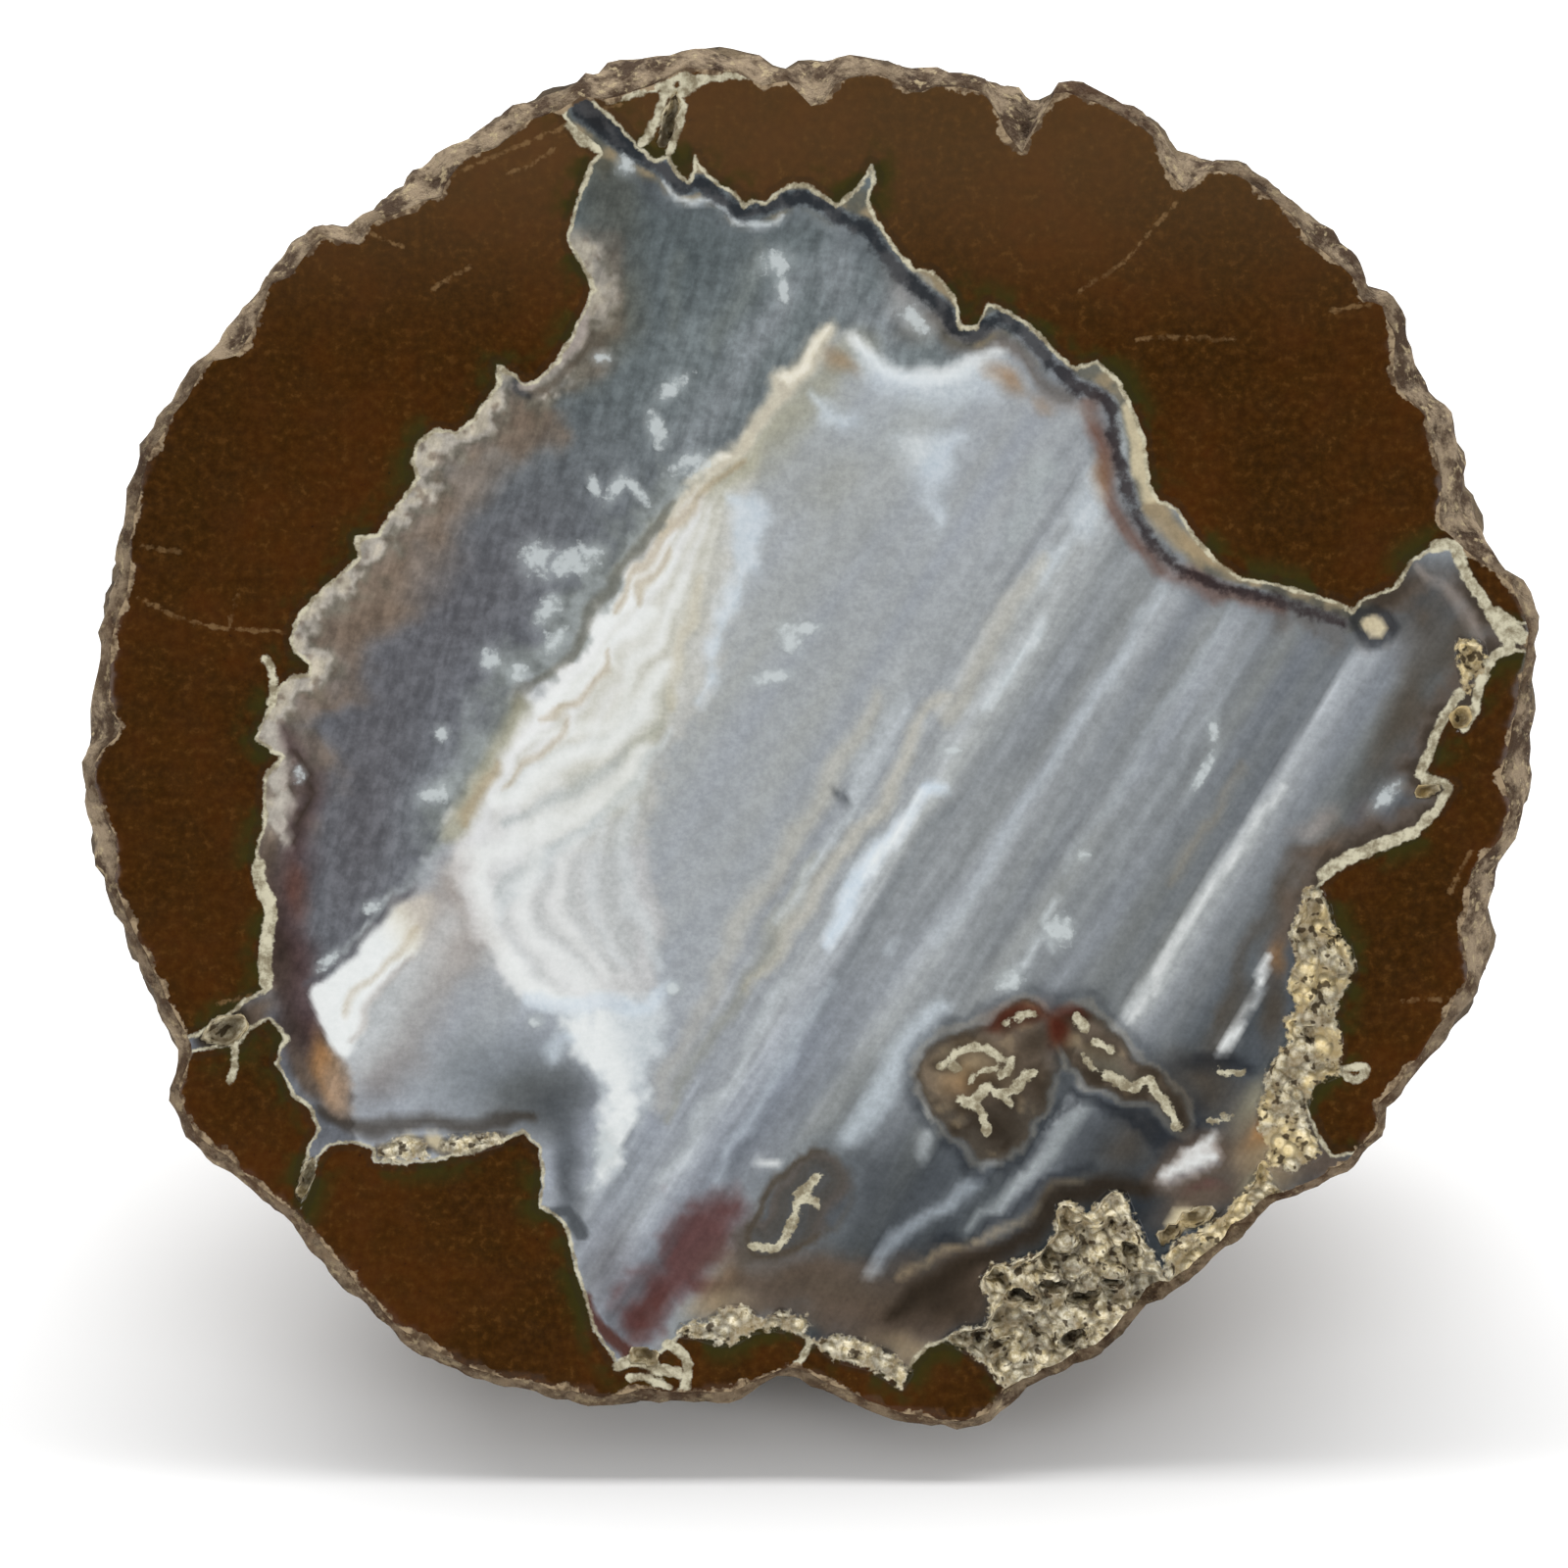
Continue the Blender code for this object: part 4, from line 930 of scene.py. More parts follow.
PLUME_WASHES = [
    ("clay", (-24.0, -8.4), 1.4, 3.6, -12, 0.6, 1.0),
    ("olive sand", (-5.0, 19.4), 1.4, 2.6, -40, 0.5, 1.0),
    ("olive sand", (-1.4, 22.0), 4.6, 1.8, 58, 0.4, 1.0),
    ("olive sand", (1.0, 18.6), 3.6, 2.0, 50, 0.25, 1.0),
]
for mark in PLUME_WASHES:
    wash(*mark)

# %% Edges of the plume
stroke("olive sand", [(3.6, 27.4), (1.2, 26.4), (-1.6, 23.4), (-4.0, 20.6), (-6.4, 18.0)], 2.0, 0.5, 1.0)
wash("amber", (1.8, 26.6), 1.6, 0.8, -30, 0.4, 1.0)
PLUME_STROKES = [
    ("oat", [(1.4, 28.5), (-0.7, 26.2), (-2.3, 24.0), (-4.6, 21.5)], 1.1, 0.9, 0.6),
    ("oat", [(-4.4, 21.5), (-6.8, 19.2), (-9.0, 17.0), (-10.7, 15.2)], 1.3, 0.9, 0.6),
    ("ivory", [(1.4, 28.6), (0.4, 27.6), (-1.6, 25.1)], 0.5, 0.8, 0.6, 0.3),
    ("ivory", [(-6.0, 20.4), (-8.4, 18.2), (-11.6, 14.4), (-13.0, 12.5)], 0.6, 0.8, 0.6, 0.2),
    ("sand", [(-4.6, 20.0), (-6.6, 18.0), (-8.5, 16.1), (-10.4, 14.6), (-11.8, 12.6), (-13.2, 10.2)], 0.6,
     0.55, 0.8, 0.3),
    ("milk", [(3.0, 27.8), (4.4, 26.9), (5.8, 26.0), (7.8, 25.7), (9.8, 26.0), (11.6, 27.0),
              (13.0, 27.9)], 1.2, 0.9, 0.8, 0.4),
    ("frost", [(3.4, 26.6), (5.0, 25.6), (7.6, 24.6), (10.0, 24.8), (12.2, 26.0)], 2.4, 0.55, 1.0, 0.4),
]
for mark in PLUME_STROKES:
    stroke(*mark)
PLUME_BORDER = [
    (-9.4, 17.0), (-12.5, 12.9), (-13.8, 11.2), (-15.1, 9.6), (-15.7, 8.0), (-16.5, 6.7), (-17.6, 5.7),
    (-19.0, 5.2), (-19.9, 3.8), (-20.3, 2.2), (-21.7, 0.9), (-21.5, -0.4), (-22.3, -2.5), (-23.8, -4.1),
]
border = to_line(rounded(PLUME_BORDER), warped, 6)[0] + 0.9 * cloud(S / 1.2, T / 1.2, 3)
outside = 1 - smooth(plume_in, -0.2, 0.6)
lay("moss", 0.7 * outside * (1 - smooth(border, 0.8, 3.4)))
lay("mist", 0.5 * outside * (1 - smooth(border + 1.2 * cloud(S / 0.9 + 5, T / 0.9, 3), 0.2, 1.8)))
lay("olive slate", 0.55 * (1 - smooth(to_line(rounded(PLUME_BORDER[:9]), warped, 3)[0], 0.12, 0.5)))
stroke("olive sand", [(-19.4, 4.0), (-20.6, 2.0), (-21.8, -0.4), (-22.8, -3.0), (-24.0, -4.8)], 1.5, 0.75,
       0.9, 0.3)
stroke("sand", [(-20.9, 0.0), (-22.0, -2.0), (-23.2, -4.0)], 0.8, 0.6, 1.0, 0.3)
stroke("mist", [(-23.0, 4.0), (-22.6, 1.4), (-24.6, -1.4)], 1.4, 0.35, 0.8, 0.5)

# The white tongue that reaches the edge at the lower left
TONGUE = [
    (-25.4, -9.0), (-27.3, -9.0), (-29.2, -11.2), (-31.6, -13.8), (-33.9, -15.1), (-33.3, -16.6),
    (-32.5, -18.4), (-31.2, -20.6), (-29.9, -17.6), (-27.9, -14.0), (-25.6, -11.0),
]
stroke("clay", [(-23.8, -11.8), (-26.4, -15.6), (-29.0, -20.0)], 5.0, 0.5, 1.0, 0.2)
stroke("pearl", [(-25.0, -10.8), (-27.4, -14.6), (-30.2, -19.6)], 3.4, 0.55, 1.0, 0.2)
tongue_in = patch("milk", TONGUE, 0.97, -0.25, 0.35)
right_side = smooth(S + 0.62 * T, -36.4, -33.0)
lay("cream", 0.4 * right_side * smooth(tongue_in, -0.4, 0.4))
lay("clay", 0.5 * smooth(S + 0.62 * T, -34.6, -32.0) * smooth(tongue_in, -1.2, 0.2))
TONGUE_STROKES = [
    ("sand", [(-26.6, -11.0), (-28.8, -13.8), (-31.0, -16.8)], 0.5, 0.35, 1.0, 0.3),
    ("clay", [(-27.0, -12.8), (-29.0, -15.8), (-30.8, -18.6)], 0.5, 0.4, 1.0, 0.3),
    ("plum slate", [(-26.6, -8.2), (-29.0, -10.6), (-31.4, -13.1), (-33.9, -14.6)], 0.5, 0.6, 0.8, 0.2),
    ("mist", [(-25.8, -6.8), (-28.6, -9.6), (-31.0, -12.4)], 0.4, 0.5, 0.8, 0.3),
]
for mark in TONGUE_STROKES:
    stroke(*mark)

# The white patch low in the middle
WHITE_PATCH = [
    (-16.6, -16.8), (-13.2, -15.8), (-9.6, -15.4), (-9.4, -18.6), (-10.6, -21.6), (-11.9, -24.4),
    (-13.1, -27.4), (-14.4, -29.2), (-14.3, -26.8), (-14.9, -25.4), (-13.9, -23.2), (-14.4, -21.2),
    (-16.2, -19.6),
]
patchy = patch("pearl", WHITE_PATCH, 0.85, -0.5, 0.8, 0.6)
left_part = smooth(-S - 0.35 * (T + 22), 10.4, 12.6)
lay("milk", 0.8 * smooth(patchy + 0.5 * cloud(S / 0.7, T / 0.7, 2), 0.1, 1.0) * left_part)
stroke("frost", [(-16.0, -18.2), (-17.4, -19.6)], 0.9, 0.6, 0.8)
stroke("frost", [(-9.8, -14.9), (-11.4, -16.4), (-13.4, -15.9), (-16.6, -16.4), (-18.6, -15.8)], 1.0,
       0.65, 0.7)
print("fold points:", int((in_plume > 0.5).sum()))

# %% Lines near the edge of the agate
DARK_COAT = [
    (-15.0, 43.2), (-13.6, 42.3), (-11.3, 40.3), (-10.0, 39.5), (-9.1, 38.6), (-8.3, 38.0), (-7.4, 38.5),
    (-6.5, 37.9), (-5.4, 36.8), (-4.3, 36.2), (-3.0, 36.8), (-1.5, 37.4), (-0.2, 37.4), (1.0, 36.8),
    (2.4, 35.7), (3.5, 35.6), (4.1, 34.8), (4.8, 33.8), (5.6, 32.8), (6.6, 31.8), (7.8, 30.9),
    (8.8, 30.2), (9.5, 28.6), (10.8, 28.4), (12.1, 29.3), (13.2, 29.4), (14.3, 28.4), (15.7, 26.8),
    (16.8, 25.6), (17.6, 24.9), (19.4, 24.3), (20.0, 23.2), (20.0, 21.6), (20.6, 19.6), (21.2, 17.6),
    (22.0, 15.4), (23.8, 13.4), (25.6, 12.3), (28.0, 11.5), (30.6, 10.9), (33.0, 10.1), (35.4, 9.2),
]
RUSTY_STROKES = [
    ("rust", [(18.4, 23.6), (19.3, 21.6), (19.8, 19.0), (20.6, 16.8), (21.4, 14.8), (23.6, 12.8),
              (26.6, 11.4), (31.0, 10.2)], 1.1, 0.75, 0.8, 0.3),
    ("rust", [(18.9, 23.6), (19.6, 20.6)], 1.2, 0.5, 0.8),
    ("clay", [(13.6, 27.6), (15.6, 25.8), (17.6, 23.8), (18.8, 22.6)], 1.0, 0.6, 0.7),
    ("cocoa", [(12.0, 28.6), (14.0, 27.4), (16.0, 25.4), (17.4, 24.2)], 0.8, 0.7, 0.7),
    ("cocoa", [(9.0, 28.0), (10.6, 27.5), (12.2, 28.2)], 1.0, 0.7, 0.7),
]
for mark in RUSTY_STROKES:
    stroke(*mark)
coat, along_coat = to_line(rounded(DARK_COAT), face_spots, 4)
coat -= 0.5 + 0.4 * (1 - smooth(along_coat, 0.03, 0.1)) - 0.16 * smooth(along_coat, 0.55, 0.8)
stroke("slate", DARK_COAT, 2.6, 0.6, 1.0)
between = (1 - smooth(coat, 1.3, 2.4)) * (1 - smooth(inset, 0.9, 1.7)) * smooth(coat, 0.0, 0.3)
lay("olive slate", 0.75 * between)
lay("sand", 0.7 * between * smooth(cloud(S / 1.4, T / 1.4, 3), -0.2, 0.7))
EDGE_STROKES = [
    ("smoke", [(-14.8, 43.6), (-13.8, 42.4)], 1.6, 0.6),
    ("mist", [(5.2, 34.8), (6.6, 33.0), (8.0, 31.8)], 0.5, 0.4, 0.6, 0.4),
    ("pearl", [(-9.8, 38.5), (-9.0, 37.5), (-8.1, 37.3), (-7.0, 37.4), (-6.1, 36.9), (-5.2, 35.9),
               (-4.1, 35.3), (-2.8, 35.6), (-2.0, 36.2)], 0.4, 0.8, 0.4, 0.3),
    ("sand", [(22.6, 17.0), (24.0, 15.4), (26.0, 13.6), (28.6, 12.2)], 1.5, 0.75, 0.5, 0.4),
    ("cream", [(21.4, 23.2), (21.9, 21.2), (21.8, 19.2), (22.6, 17.4)], 0.9, 0.85, 0.5, 0.4),
    ("mist", [(20.6, 23.6), (21.0, 21.6), (20.8, 20.4)], 0.6, 0.6, 0.5),
    ("bitter", [(-32.9, -23.3), (-31.8, -24.2), (-29.6, -24.8), (-27.3, -24.4), (-25.1, -23.9),
                (-23.0, -24.3), (-20.5, -24.1), (-18.9, -24.0)], 1.0, 0.6, 0.8, 0.4),
    ("smoke", [(-28.6, -25.9), (-25.0, -25.8), (-21.0, -25.3)], 1.2, 0.8, 0.4),
]
for mark in EDGE_STROKES:
    stroke(*mark)
for s, t, size in ((-28.0, -25.8, 0.7), (-27.0, -25.6, 0.9), (-25.0, -25.5, 0.9), (-23.6, -25.5, 0.7),
                   (-22.4, -25.2, 0.8), (-21.4, -25.4, 0.6)):
    wash("cream", (s, t), size, size * 0.8, 0, 0.85, 0.6)
stroke("clay", [(-15.0, 30.6), (-15.2, 29.0), (-16.6, 26.6), (-18.2, 25.0), (-19.6, 24.8)], 0.9, 0.8, 0.5)
stroke("smoke", [(-14.6, 28.4), (-16.0, 25.6), (-17.8, 24.2), (-18.8, 24.1)], 0.6, 0.6, 0.5)
stroke("ink", [(-19.4, 25.4), (-19.8, 24.6), (-19.0, 24.0)], 0.5, 0.6, 0.5)
for s, t, length, width in ((-35.7, 1.8, 0.9, 0.9), (-35.4, -0.9, 0.7, 0.9), (-35.0, -2.5, 0.8, 0.8),
                            (-35.6, -3.9, 0.9, 0.8), (-35.0, -5.1, 0.7, 0.6)):
    wash("ash", (s, t), length, width, 0, 0.95, 0.3)
    wash("clay", (s + 0.3, t - 0.3), length * 0.6, width * 0.6, 0, 0.5, 0.8)
    wash("bitter", (s + length, t - width * 0.6), 0.3, 0.4, 0, 0.5, 1.0)
LEFT_EDGE_STROKES = [
    ("plum brown", [(-34.8, 2.0), (-34.2, 0.2), (-33.5, -1.0), (-33.5, -3.2), (-34.2, -5.4)], 1.7, 0.65,
     1.0, 0.4),
    ("bitter", [(-34.5, 1.2), (-33.7, -0.2), (-33.5, -1.6), (-33.7, -3.6), (-34.3, -5.2)], 0.5, 0.65, 0.8,
     0.4),
    ("bitter", [(-38.4, -17.2), (-40.2, -18.4)], 1.5, 0.85),
    ("deep slate", [(-17.6, -30.0), (-16.4, -29.6), (-15.6, -31.6)], 0.9, 0.8),
    ("wine", [(-15.0, -36.0), (-13.8, -38.4), (-12.4, -39.4)], 0.8, 0.7),
]
for mark in LEFT_EDGE_STROKES:
    stroke(*mark)
print("dark coat:", len(DARK_COAT), "points")

# %% Milky clouds and waterlines
patch("frost", [(0.2, 24.8), (1.6, 23.8), (3.2, 22.6), (1.4, 22.4), (0.6, 23.2)], 0.75, -0.6, 0.5, 0.3)
patch("frost", [(5.4, 21.6), (8.6, 22.0), (12.0, 22.6), (9.6, 20.0), (8.8, 17.6), (8.2, 14.6),
                (7.4, 17.0), (6.6, 19.6)], 0.7, -0.8, 1.2, 0.4)
wash("milk", (6.8, 20.8), 1.0, 1.3, 0, 0.5, 1.0)
patch("mist", [(14.8, 20.4), (17.0, 20.0), (15.0, 17.0), (12.8, 13.6), (13.2, 16.8)], 0.7, -0.8, 0.8, 0.4)
patch("frost", [(18.4, 19.6), (20.4, 17.8), (17.6, 14.8), (14.6, 10.8), (16.4, 15.0)], 0.5, -0.8, 0.8,
      0.4)
patch("frost", [(-5.2, 17.2), (-2.8, 18.0), (-3.4, 13.4), (-5.4, 7.6), (-8.0, 2.6), (-7.0, 7.0),
                (-5.4, 12.4)], 0.75, -0.6, 0.7, 0.4)
HAZE_WASHES = [
    ("mist", (4.0, 22.6), 5.0, 3.0, -10, 0.3, 1.0),
    ("amber", (12.9, 25.6), 1.5, 0.8, -35, 0.6, 1.0),
    ("amber", (15.6, 24.2), 1.4, 0.7, -35, 0.35, 1.0),
    ("amber", (19.4, 18.8), 0.8, 1.6, 10, 0.4, 1.0),
]
for mark in HAZE_WASHES:
    wash(*mark)
LINES = [
    ("oat", 1.4, 0.4, [(15.4, 13.4), (13.4, 10.6), (11.4, 7.2), (9.2, 3.2)]),
    ("pearl", 0.8, 0.9, [(15.6, 9.4), (14.0, 6.8), (12.6, 5.0), (11.4, 3.7)]),
    ("pearl", 1.2, 0.5, [(6.6, 4.0), (4.9, 1.6), (3.4, -0.9), (2.4, -3.0)]),
    ("oat", 1.0, 0.5, [(8.8, 4.4), (7.2, 2.4), (5.4, -0.9), (3.6, -4.0), (1.4, -7.2), (-1.4, -10.8),
                       (-4.4, -15.2)]),
    ("oat", 1.4, 0.35, [(4.6, 4.4), (1.4, -0.6), (-2.4, -7.4), (-5.6, -13.2), (-8.4, -18.6),
                        (-10.2, -23.0)]),
    ("olive sand", 1.0, 0.35, [(0.4, -6.4), (-2.4, -11.0), (-5.0, -15.6), (-7.6, -19.8), (-9.6, -24.0)]),
    ("pearl", 0.6, 0.6, [(2.6, -3.4), (0.4, -7.0), (-2.0, -10.6)]),
    ("pearl", 0.8, 0.45, [(-1.6, -14.6), (-4.6, -19.4), (-7.4, -24.0), (-9.8, -28.0)]),
    ("frost", 0.9, 0.35, [(1.2, -14.8), (-1.8, -19.6), (-4.4, -24.2), (-6.6, -28.6)]),
    ("slate", 0.9, 0.35, [(9.2, -2.8), (6.0, -7.4), (3.2, -12.0), (0.4, -17.0)]),
    ("slate", 0.8, 0.3, [(2.0, -19.4), (-0.6, -24.2), (-2.6, -27.8)]),
    ("frost", 0.9, 0.25, [(24.4, 12.6), (21.0, 7.6), (17.0, 1.2), (12.6, -5.6), (8.6, -12.0)]),
    ("frost", 2.2, 0.6, [(8.6, -16.6), (6.8, -19.0), (4.8, -22.0), (2.4, -25.0)]),
    ("pearl", 0.9, 0.5, [(8.0, -22.4), (7.4, -24.6), (7.2, -26.6)]),
    ("frost", 1.0, 0.45, [(12.4, -26.4), (9.2, -29.4), (5.6, -32.0), (3.6, -34.6)]),
    ("mist", 1.1, 0.6, [(18.6, -22.4), (16.6, -24.8), (14.8, -27.2), (12.8, -29.6), (10.2, -31.4)]),
    ("frost", 0.7, 0.2, [(27.6, 9.6), (24.0, 4.0), (20.4, -1.8), (16.8, -7.6)]),
    ("pearl", 0.8, 0.2, [(29.8, 8.0), (26.2, 2.8), (22.2, -3.6), (18.4, -9.8)]),
    ("sand", 0.6, 0.25, [(29.0, -0.6), (26.6, -4.0), (24.2, -7.8)]),
    ("pearl", 0.5, 0.7, [(16.6, -9.0), (15.8, -10.6), (16.2, -12.2)]),
    ("pearl", 0.5, 0.7, [(15.4, -11.6), (14.4, -13.4), (12.8, -15.0)]),
    ("frost", 0.5, 0.6, [(5.8, -11.8), (5.0, -12.9)]),
    ("milk", 0.45, 0.7, [(21.2, -17.7), (24.0, -12.9), (26.7, -8.7), (29.7, -4.2), (31.6, -1.4)]),
    ("smoke", 1.0, 0.5, [(27.0, -17.4), (29.4, -12.0), (32.4, -7.0)]),
    ("clay", 0.8, 0.5, [(40.6, 13.2), (43.2, 10.6), (44.4, 8.0)]),
]
for colour, width, strength, points in LINES:
    stroke(colour, points, width, strength, 0.8, 0.35)
stroke("frost", [(8.4, -1.6), (6.9, -2.6), (4.8, -5.6), (2.6, -8.8), (0.8, -12.0)], 1.3, 0.95, 0.5, 0.4)
stroke("milk", [(7.2, -2.4), (5.4, -5.0), (3.6, -7.8)], 0.7, 0.8, 0.7, 0.4)
stroke("deep slate", [(1.4, -1.8), (2.2, -2.3), (2.0, -2.9)], 0.45, 0.8, 0.5, 0.4)
print("waterlines:", len(LINES))

# %% Inclusions at the lower right
BLOB = [
    (7.6, -20.1), (8.2, -19.0), (9.4, -18.1), (11.3, -17.7), (12.2, -16.4), (14.0, -15.4), (15.8, -15.7),
    (16.8, -17.4), (17.1, -20.1), (16.3, -21.8), (15.1, -23.4), (13.8, -25.1), (13.0, -26.6),
    (11.2, -26.9), (10.1, -25.6), (8.8, -24.0), (7.8, -22.4),
]
SIDE_BLOB = [
    (16.4, -17.3), (17.6, -15.9), (19.0, -16.3), (19.6, -17.7), (20.9, -18.9), (22.8, -20.2),
    (24.2, -21.4), (25.2, -24.0), (24.4, -25.0), (22.9, -23.5), (21.2, -22.9), (19.1, -21.9),
    (17.5, -20.3), (16.6, -18.9),
]
low_side = smooth(-T, 21.5, 23.5)
for outline in (BLOB, SIDE_BLOB):
    blob_in = patch("deep slate", outline, 0.35, -1.8, -0.5, 0.25)
    lay("ink", 0.45 * (0.3 + 0.7 * low_side) * (1 - smooth(np.abs(blob_in + 0.75), 0.1, 0.4)))
    lay("ink", 0.35 * low_side * (1 - smooth(np.abs(blob_in + 1.35), 0.08, 0.25)))
    lay("sand", 0.18 * (1 - smooth(np.abs(blob_in + 0.25), 0.08, 0.3)))
    lay("smoke", 0.9 * smooth(blob_in, -0.15, 0.2))
    lay("blush", 0.45 * smooth(blob_in, 0.2, 0.6) * (1 - low_side))
    lay("bitter", 0.6 * smooth(blob_in, 0.0, 0.5) * smooth(cloud(S / 1.3, T / 1.3, 3), 0.0, 0.7))
    lay("sand", 0.4 * smooth(blob_in, 0.2, 0.7) * smooth(cloud(S / 1.1 + 9, T / 1.1, 3), 0.1, 0.8))
BLOB_WASHES = [
    ("cocoa", (11.8, -20.8), 4.0, 3.0, 20, 0.4, 1.0),
    ("sand", (10.8, -20.6), 3.0, 1.9, 20, 0.75, 1.0),
    ("bitter", (11.6, -21.6), 1.2, 0.7, 10, 0.6, 1.0),
    ("cream", (9.4, -19.6), 1.0, 0.6, 30, 0.35, 1.0),
    ("amber", (10.4, -21.4), 1.6, 1.0, 10, 0.35, 1.0),
    ("rust", (14.0, -16.6), 2.4, 1.1, 15, 0.6, 1.0),
    ("wine", (14.6, -16.8), 1.6, 0.7, 15, 0.5, 1.0),
    ("wine", (12.8, -16.9), 1.6, 0.5, 40, 0.6),
    ("bitter", (14.9, -18.9), 1.6, 1.2, 30, 0.6, 1.0),
    ("bitter", (12.4, -24.4), 1.6, 1.8, -30, 0.75, 1.0),
    ("bitter", (15.4, -21.6), 1.0, 1.6, -10, 0.7, 1.0),
    ("rust", (16.6, -17.9), 1.2, 1.6, -10, 0.6),
    ("wine", (16.6, -17.7), 1.1, 1.4, -10, 0.75),
    ("wine", (17.8, -16.6), 1.2, 0.5, -20, 0.7),
    ("olive slate", (20.6, -20.4), 3.4, 0.9, -32, 0.7, 1.0),
    ("sand", (19.0, -18.9), 1.8, 0.4, -32, 0.4, 1.0),
]
for mark in BLOB_WASHES:
    wash(*mark)
WORMS = [
    (0.50, [(13.2, -17.4), (13.9, -17.0), (14.8, -16.9)]),
    (0.55, [(8.8, -20.3), (9.6, -19.4), (11.0, -19.0), (12.0, -19.2), (12.6, -19.8)]),
    (0.40, [(9.0, -20.2), (9.8, -20.5)]),
    (0.50, [(13.4, -19.8), (13.2, -20.6), (12.7, -21.0)]),
    (0.65, [(10.0, -22.7), (11.1, -22.5), (11.7, -21.7), (12.3, -22.0), (12.8, -22.3), (13.8, -21.9),
            (14.1, -21.0), (14.9, -20.8)]),
    (0.35, [(10.6, -21.4), (11.4, -20.6), (12.4, -20.5)]),
    (0.55, [(10.2, -22.8), (11.0, -23.0), (11.6, -23.6), (11.8, -24.8)]),
    (0.45, [(13.0, -22.4), (13.4, -22.9)]),
    (0.65, [(17.7, -17.1), (18.3, -17.7)]),
    (0.55, [(19.0, -18.6), (20.1, -19.3)]),
    (0.65, [(19.8, -20.9), (20.8, -21.5), (21.6, -21.9), (22.2, -21.5), (22.6, -21.1), (23.0, -22.0),
            (23.9, -23.0), (24.5, -24.3)]),
    (0.30, [(18.2, -19.6), (19.0, -20.6), (19.9, -21.0)]),
]
for width, points in WORMS:
    stroke("bitter", points, width + 0.6, 0.5, 1.0, 0.3)
BLOB_STROKES = [
    ("ink", [(25.6, -24.4), (25.0, -25.6), (23.4, -25.0), (21.6, -24.2), (19.4, -23.4), (17.8, -22.0)],
     0.6, 0.55, 0.8),
    ("milk", [(27.2, -19.2), (28.2, -18.2), (28.9, -17.0)], 0.8, 0.97, 0.35, 0.7),
    ("milk", [(28.7, -16.9), (29.7, -15.4), (30.9, -13.2)], 0.55, 0.97, 0.35, 0.7),
    ("ink", [(25.4, -19.4), (27.6, -19.4), (29.4, -20.0)], 0.5, 0.7, 0.6),
]
for mark in BLOB_STROKES:
    stroke(*mark)
LUMP = [
    (23.3, -27.9), (24.1, -26.7), (25.2, -25.4), (26.7, -24.9), (27.8, -25.9), (26.6, -27.4),
    (24.6, -28.5),
]
lump_in = patch("cocoa", LUMP, 0.7, -1.2, -0.3)
lay("clay", 0.95 * smooth(lump_in, -0.3, 0.4))
lay("pearl", 0.35 * smooth(lump_in, 0.3, 1.0))
LUMP_STROKES = [
    ("milk", [(23.8, -27.5), (25.2, -26.6), (26.8, -26.0)], 0.9, 0.8, 0.5, 0.6),
    ("milk", [(24.9, -26.2), (25.8, -25.4), (27.0, -24.6)], 0.6, 0.8, 0.5, 0.6),
    ("plum slate", [(24.6, -27.9), (26.2, -27.0), (27.6, -26.4)], 0.35, 0.6, 0.5, 0.5),
    ("sand", [(17.8, -28.0), (15.9, -28.5), (14.7, -30.8), (11.7, -31.8), (9.0, -32.6), (6.0, -34.6)],
     0.45, 0.6, 0.8, 0.3),
    ("ink", [(18.6, -27.2), (17.0, -27.6), (15.2, -28.4), (14.0, -30.4), (11.2, -31.3), (8.6, -32.0)],
     0.7, 0.55, 0.8, 0.3),
    ("bitter", [(22.6, -28.4), (20.4, -28.0), (18.2, -28.8), (16.2, -29.0), (15.2, -31.2), (14.0, -32.4),
                (11.5, -33.2), (9.0, -34.3), (5.3, -36.8)], 1.4, 0.9, 0.8, 0.2),
]
for mark in LUMP_STROKES:
    stroke(*mark)
wash("cream", (24.7, -30.6), 1.1, 0.9, 0, 0.95, 0.4)
wash("bitter", (27.2, -30.8), 1.2, 0.7, 10, 0.8)
ring = ellipse(warped, (37.4, 9.15), 1, 1, 0)
lay("ink", 0.6 * smooth(ring, 0.8, 1.1) * (1 - smooth(ring, 1.4, 1.9)))
lay("cream", 0.9 * (1 - smooth(ring, 0.7, 0.95)))

# The hooked vein and the dark rings round it
HOOK = [
    (0.5, -27.8), (-0.3, -28.7), (-0.9, -29.5), (-1.2, -30.8), (-1.7, -31.9), (-2.5, -32.7),
    (-3.9, -32.4),
]
hook = to_line(rounded(HOOK), warped, 5)[0]
HOOK_RING = [
    (1.1, -25.8), (-1.0, -26.7), (-2.8, -28.5), (-3.5, -30.4), (-4.6, -32.2), (-3.6, -33.5),
    (-1.6, -33.2), (0.5, -32.0), (1.9, -30.6), (2.6, -28.8), (2.2, -27.0),
]
ring_in = patch("slate", HOOK_RING, 0.4, -1.6, -0.4)
lay("deep slate", 0.7 * smooth(ring_in, -0.1, 0.5))
lay("cocoa", 0.5 * (1 - smooth(np.abs(hook - 1.5), 0.1, 0.5)) * smooth(ring_in, -0.1, 0.3))
lay("smoke", 0.85 * (1 - smooth(np.abs(ring_in), 0.1, 0.35)) * (0.35 + 0.65 * smooth(-S, -2.4, 0)))
lay("smoke", 0.5 * (1 - smooth(np.abs(hook - 1.0), 0.15, 0.5)))
lay("smoke", 0.35 * (1 - smooth(hook, 0.6, 1.0)))
WORMS += [
    (0.60, HOOK), (0.50, [(-0.7, -29.4), (-0.1, -29.2), (0.5, -29.7)]),
    (0.45, [(-0.9, -28.9), (0.0, -28.5)]),
    (0.45, [(27.0, -20.5), (28.0, -20.8), (28.8, -20.8)]), (0.45, [(26.8, -24.0), (28.0, -23.8)]),
]
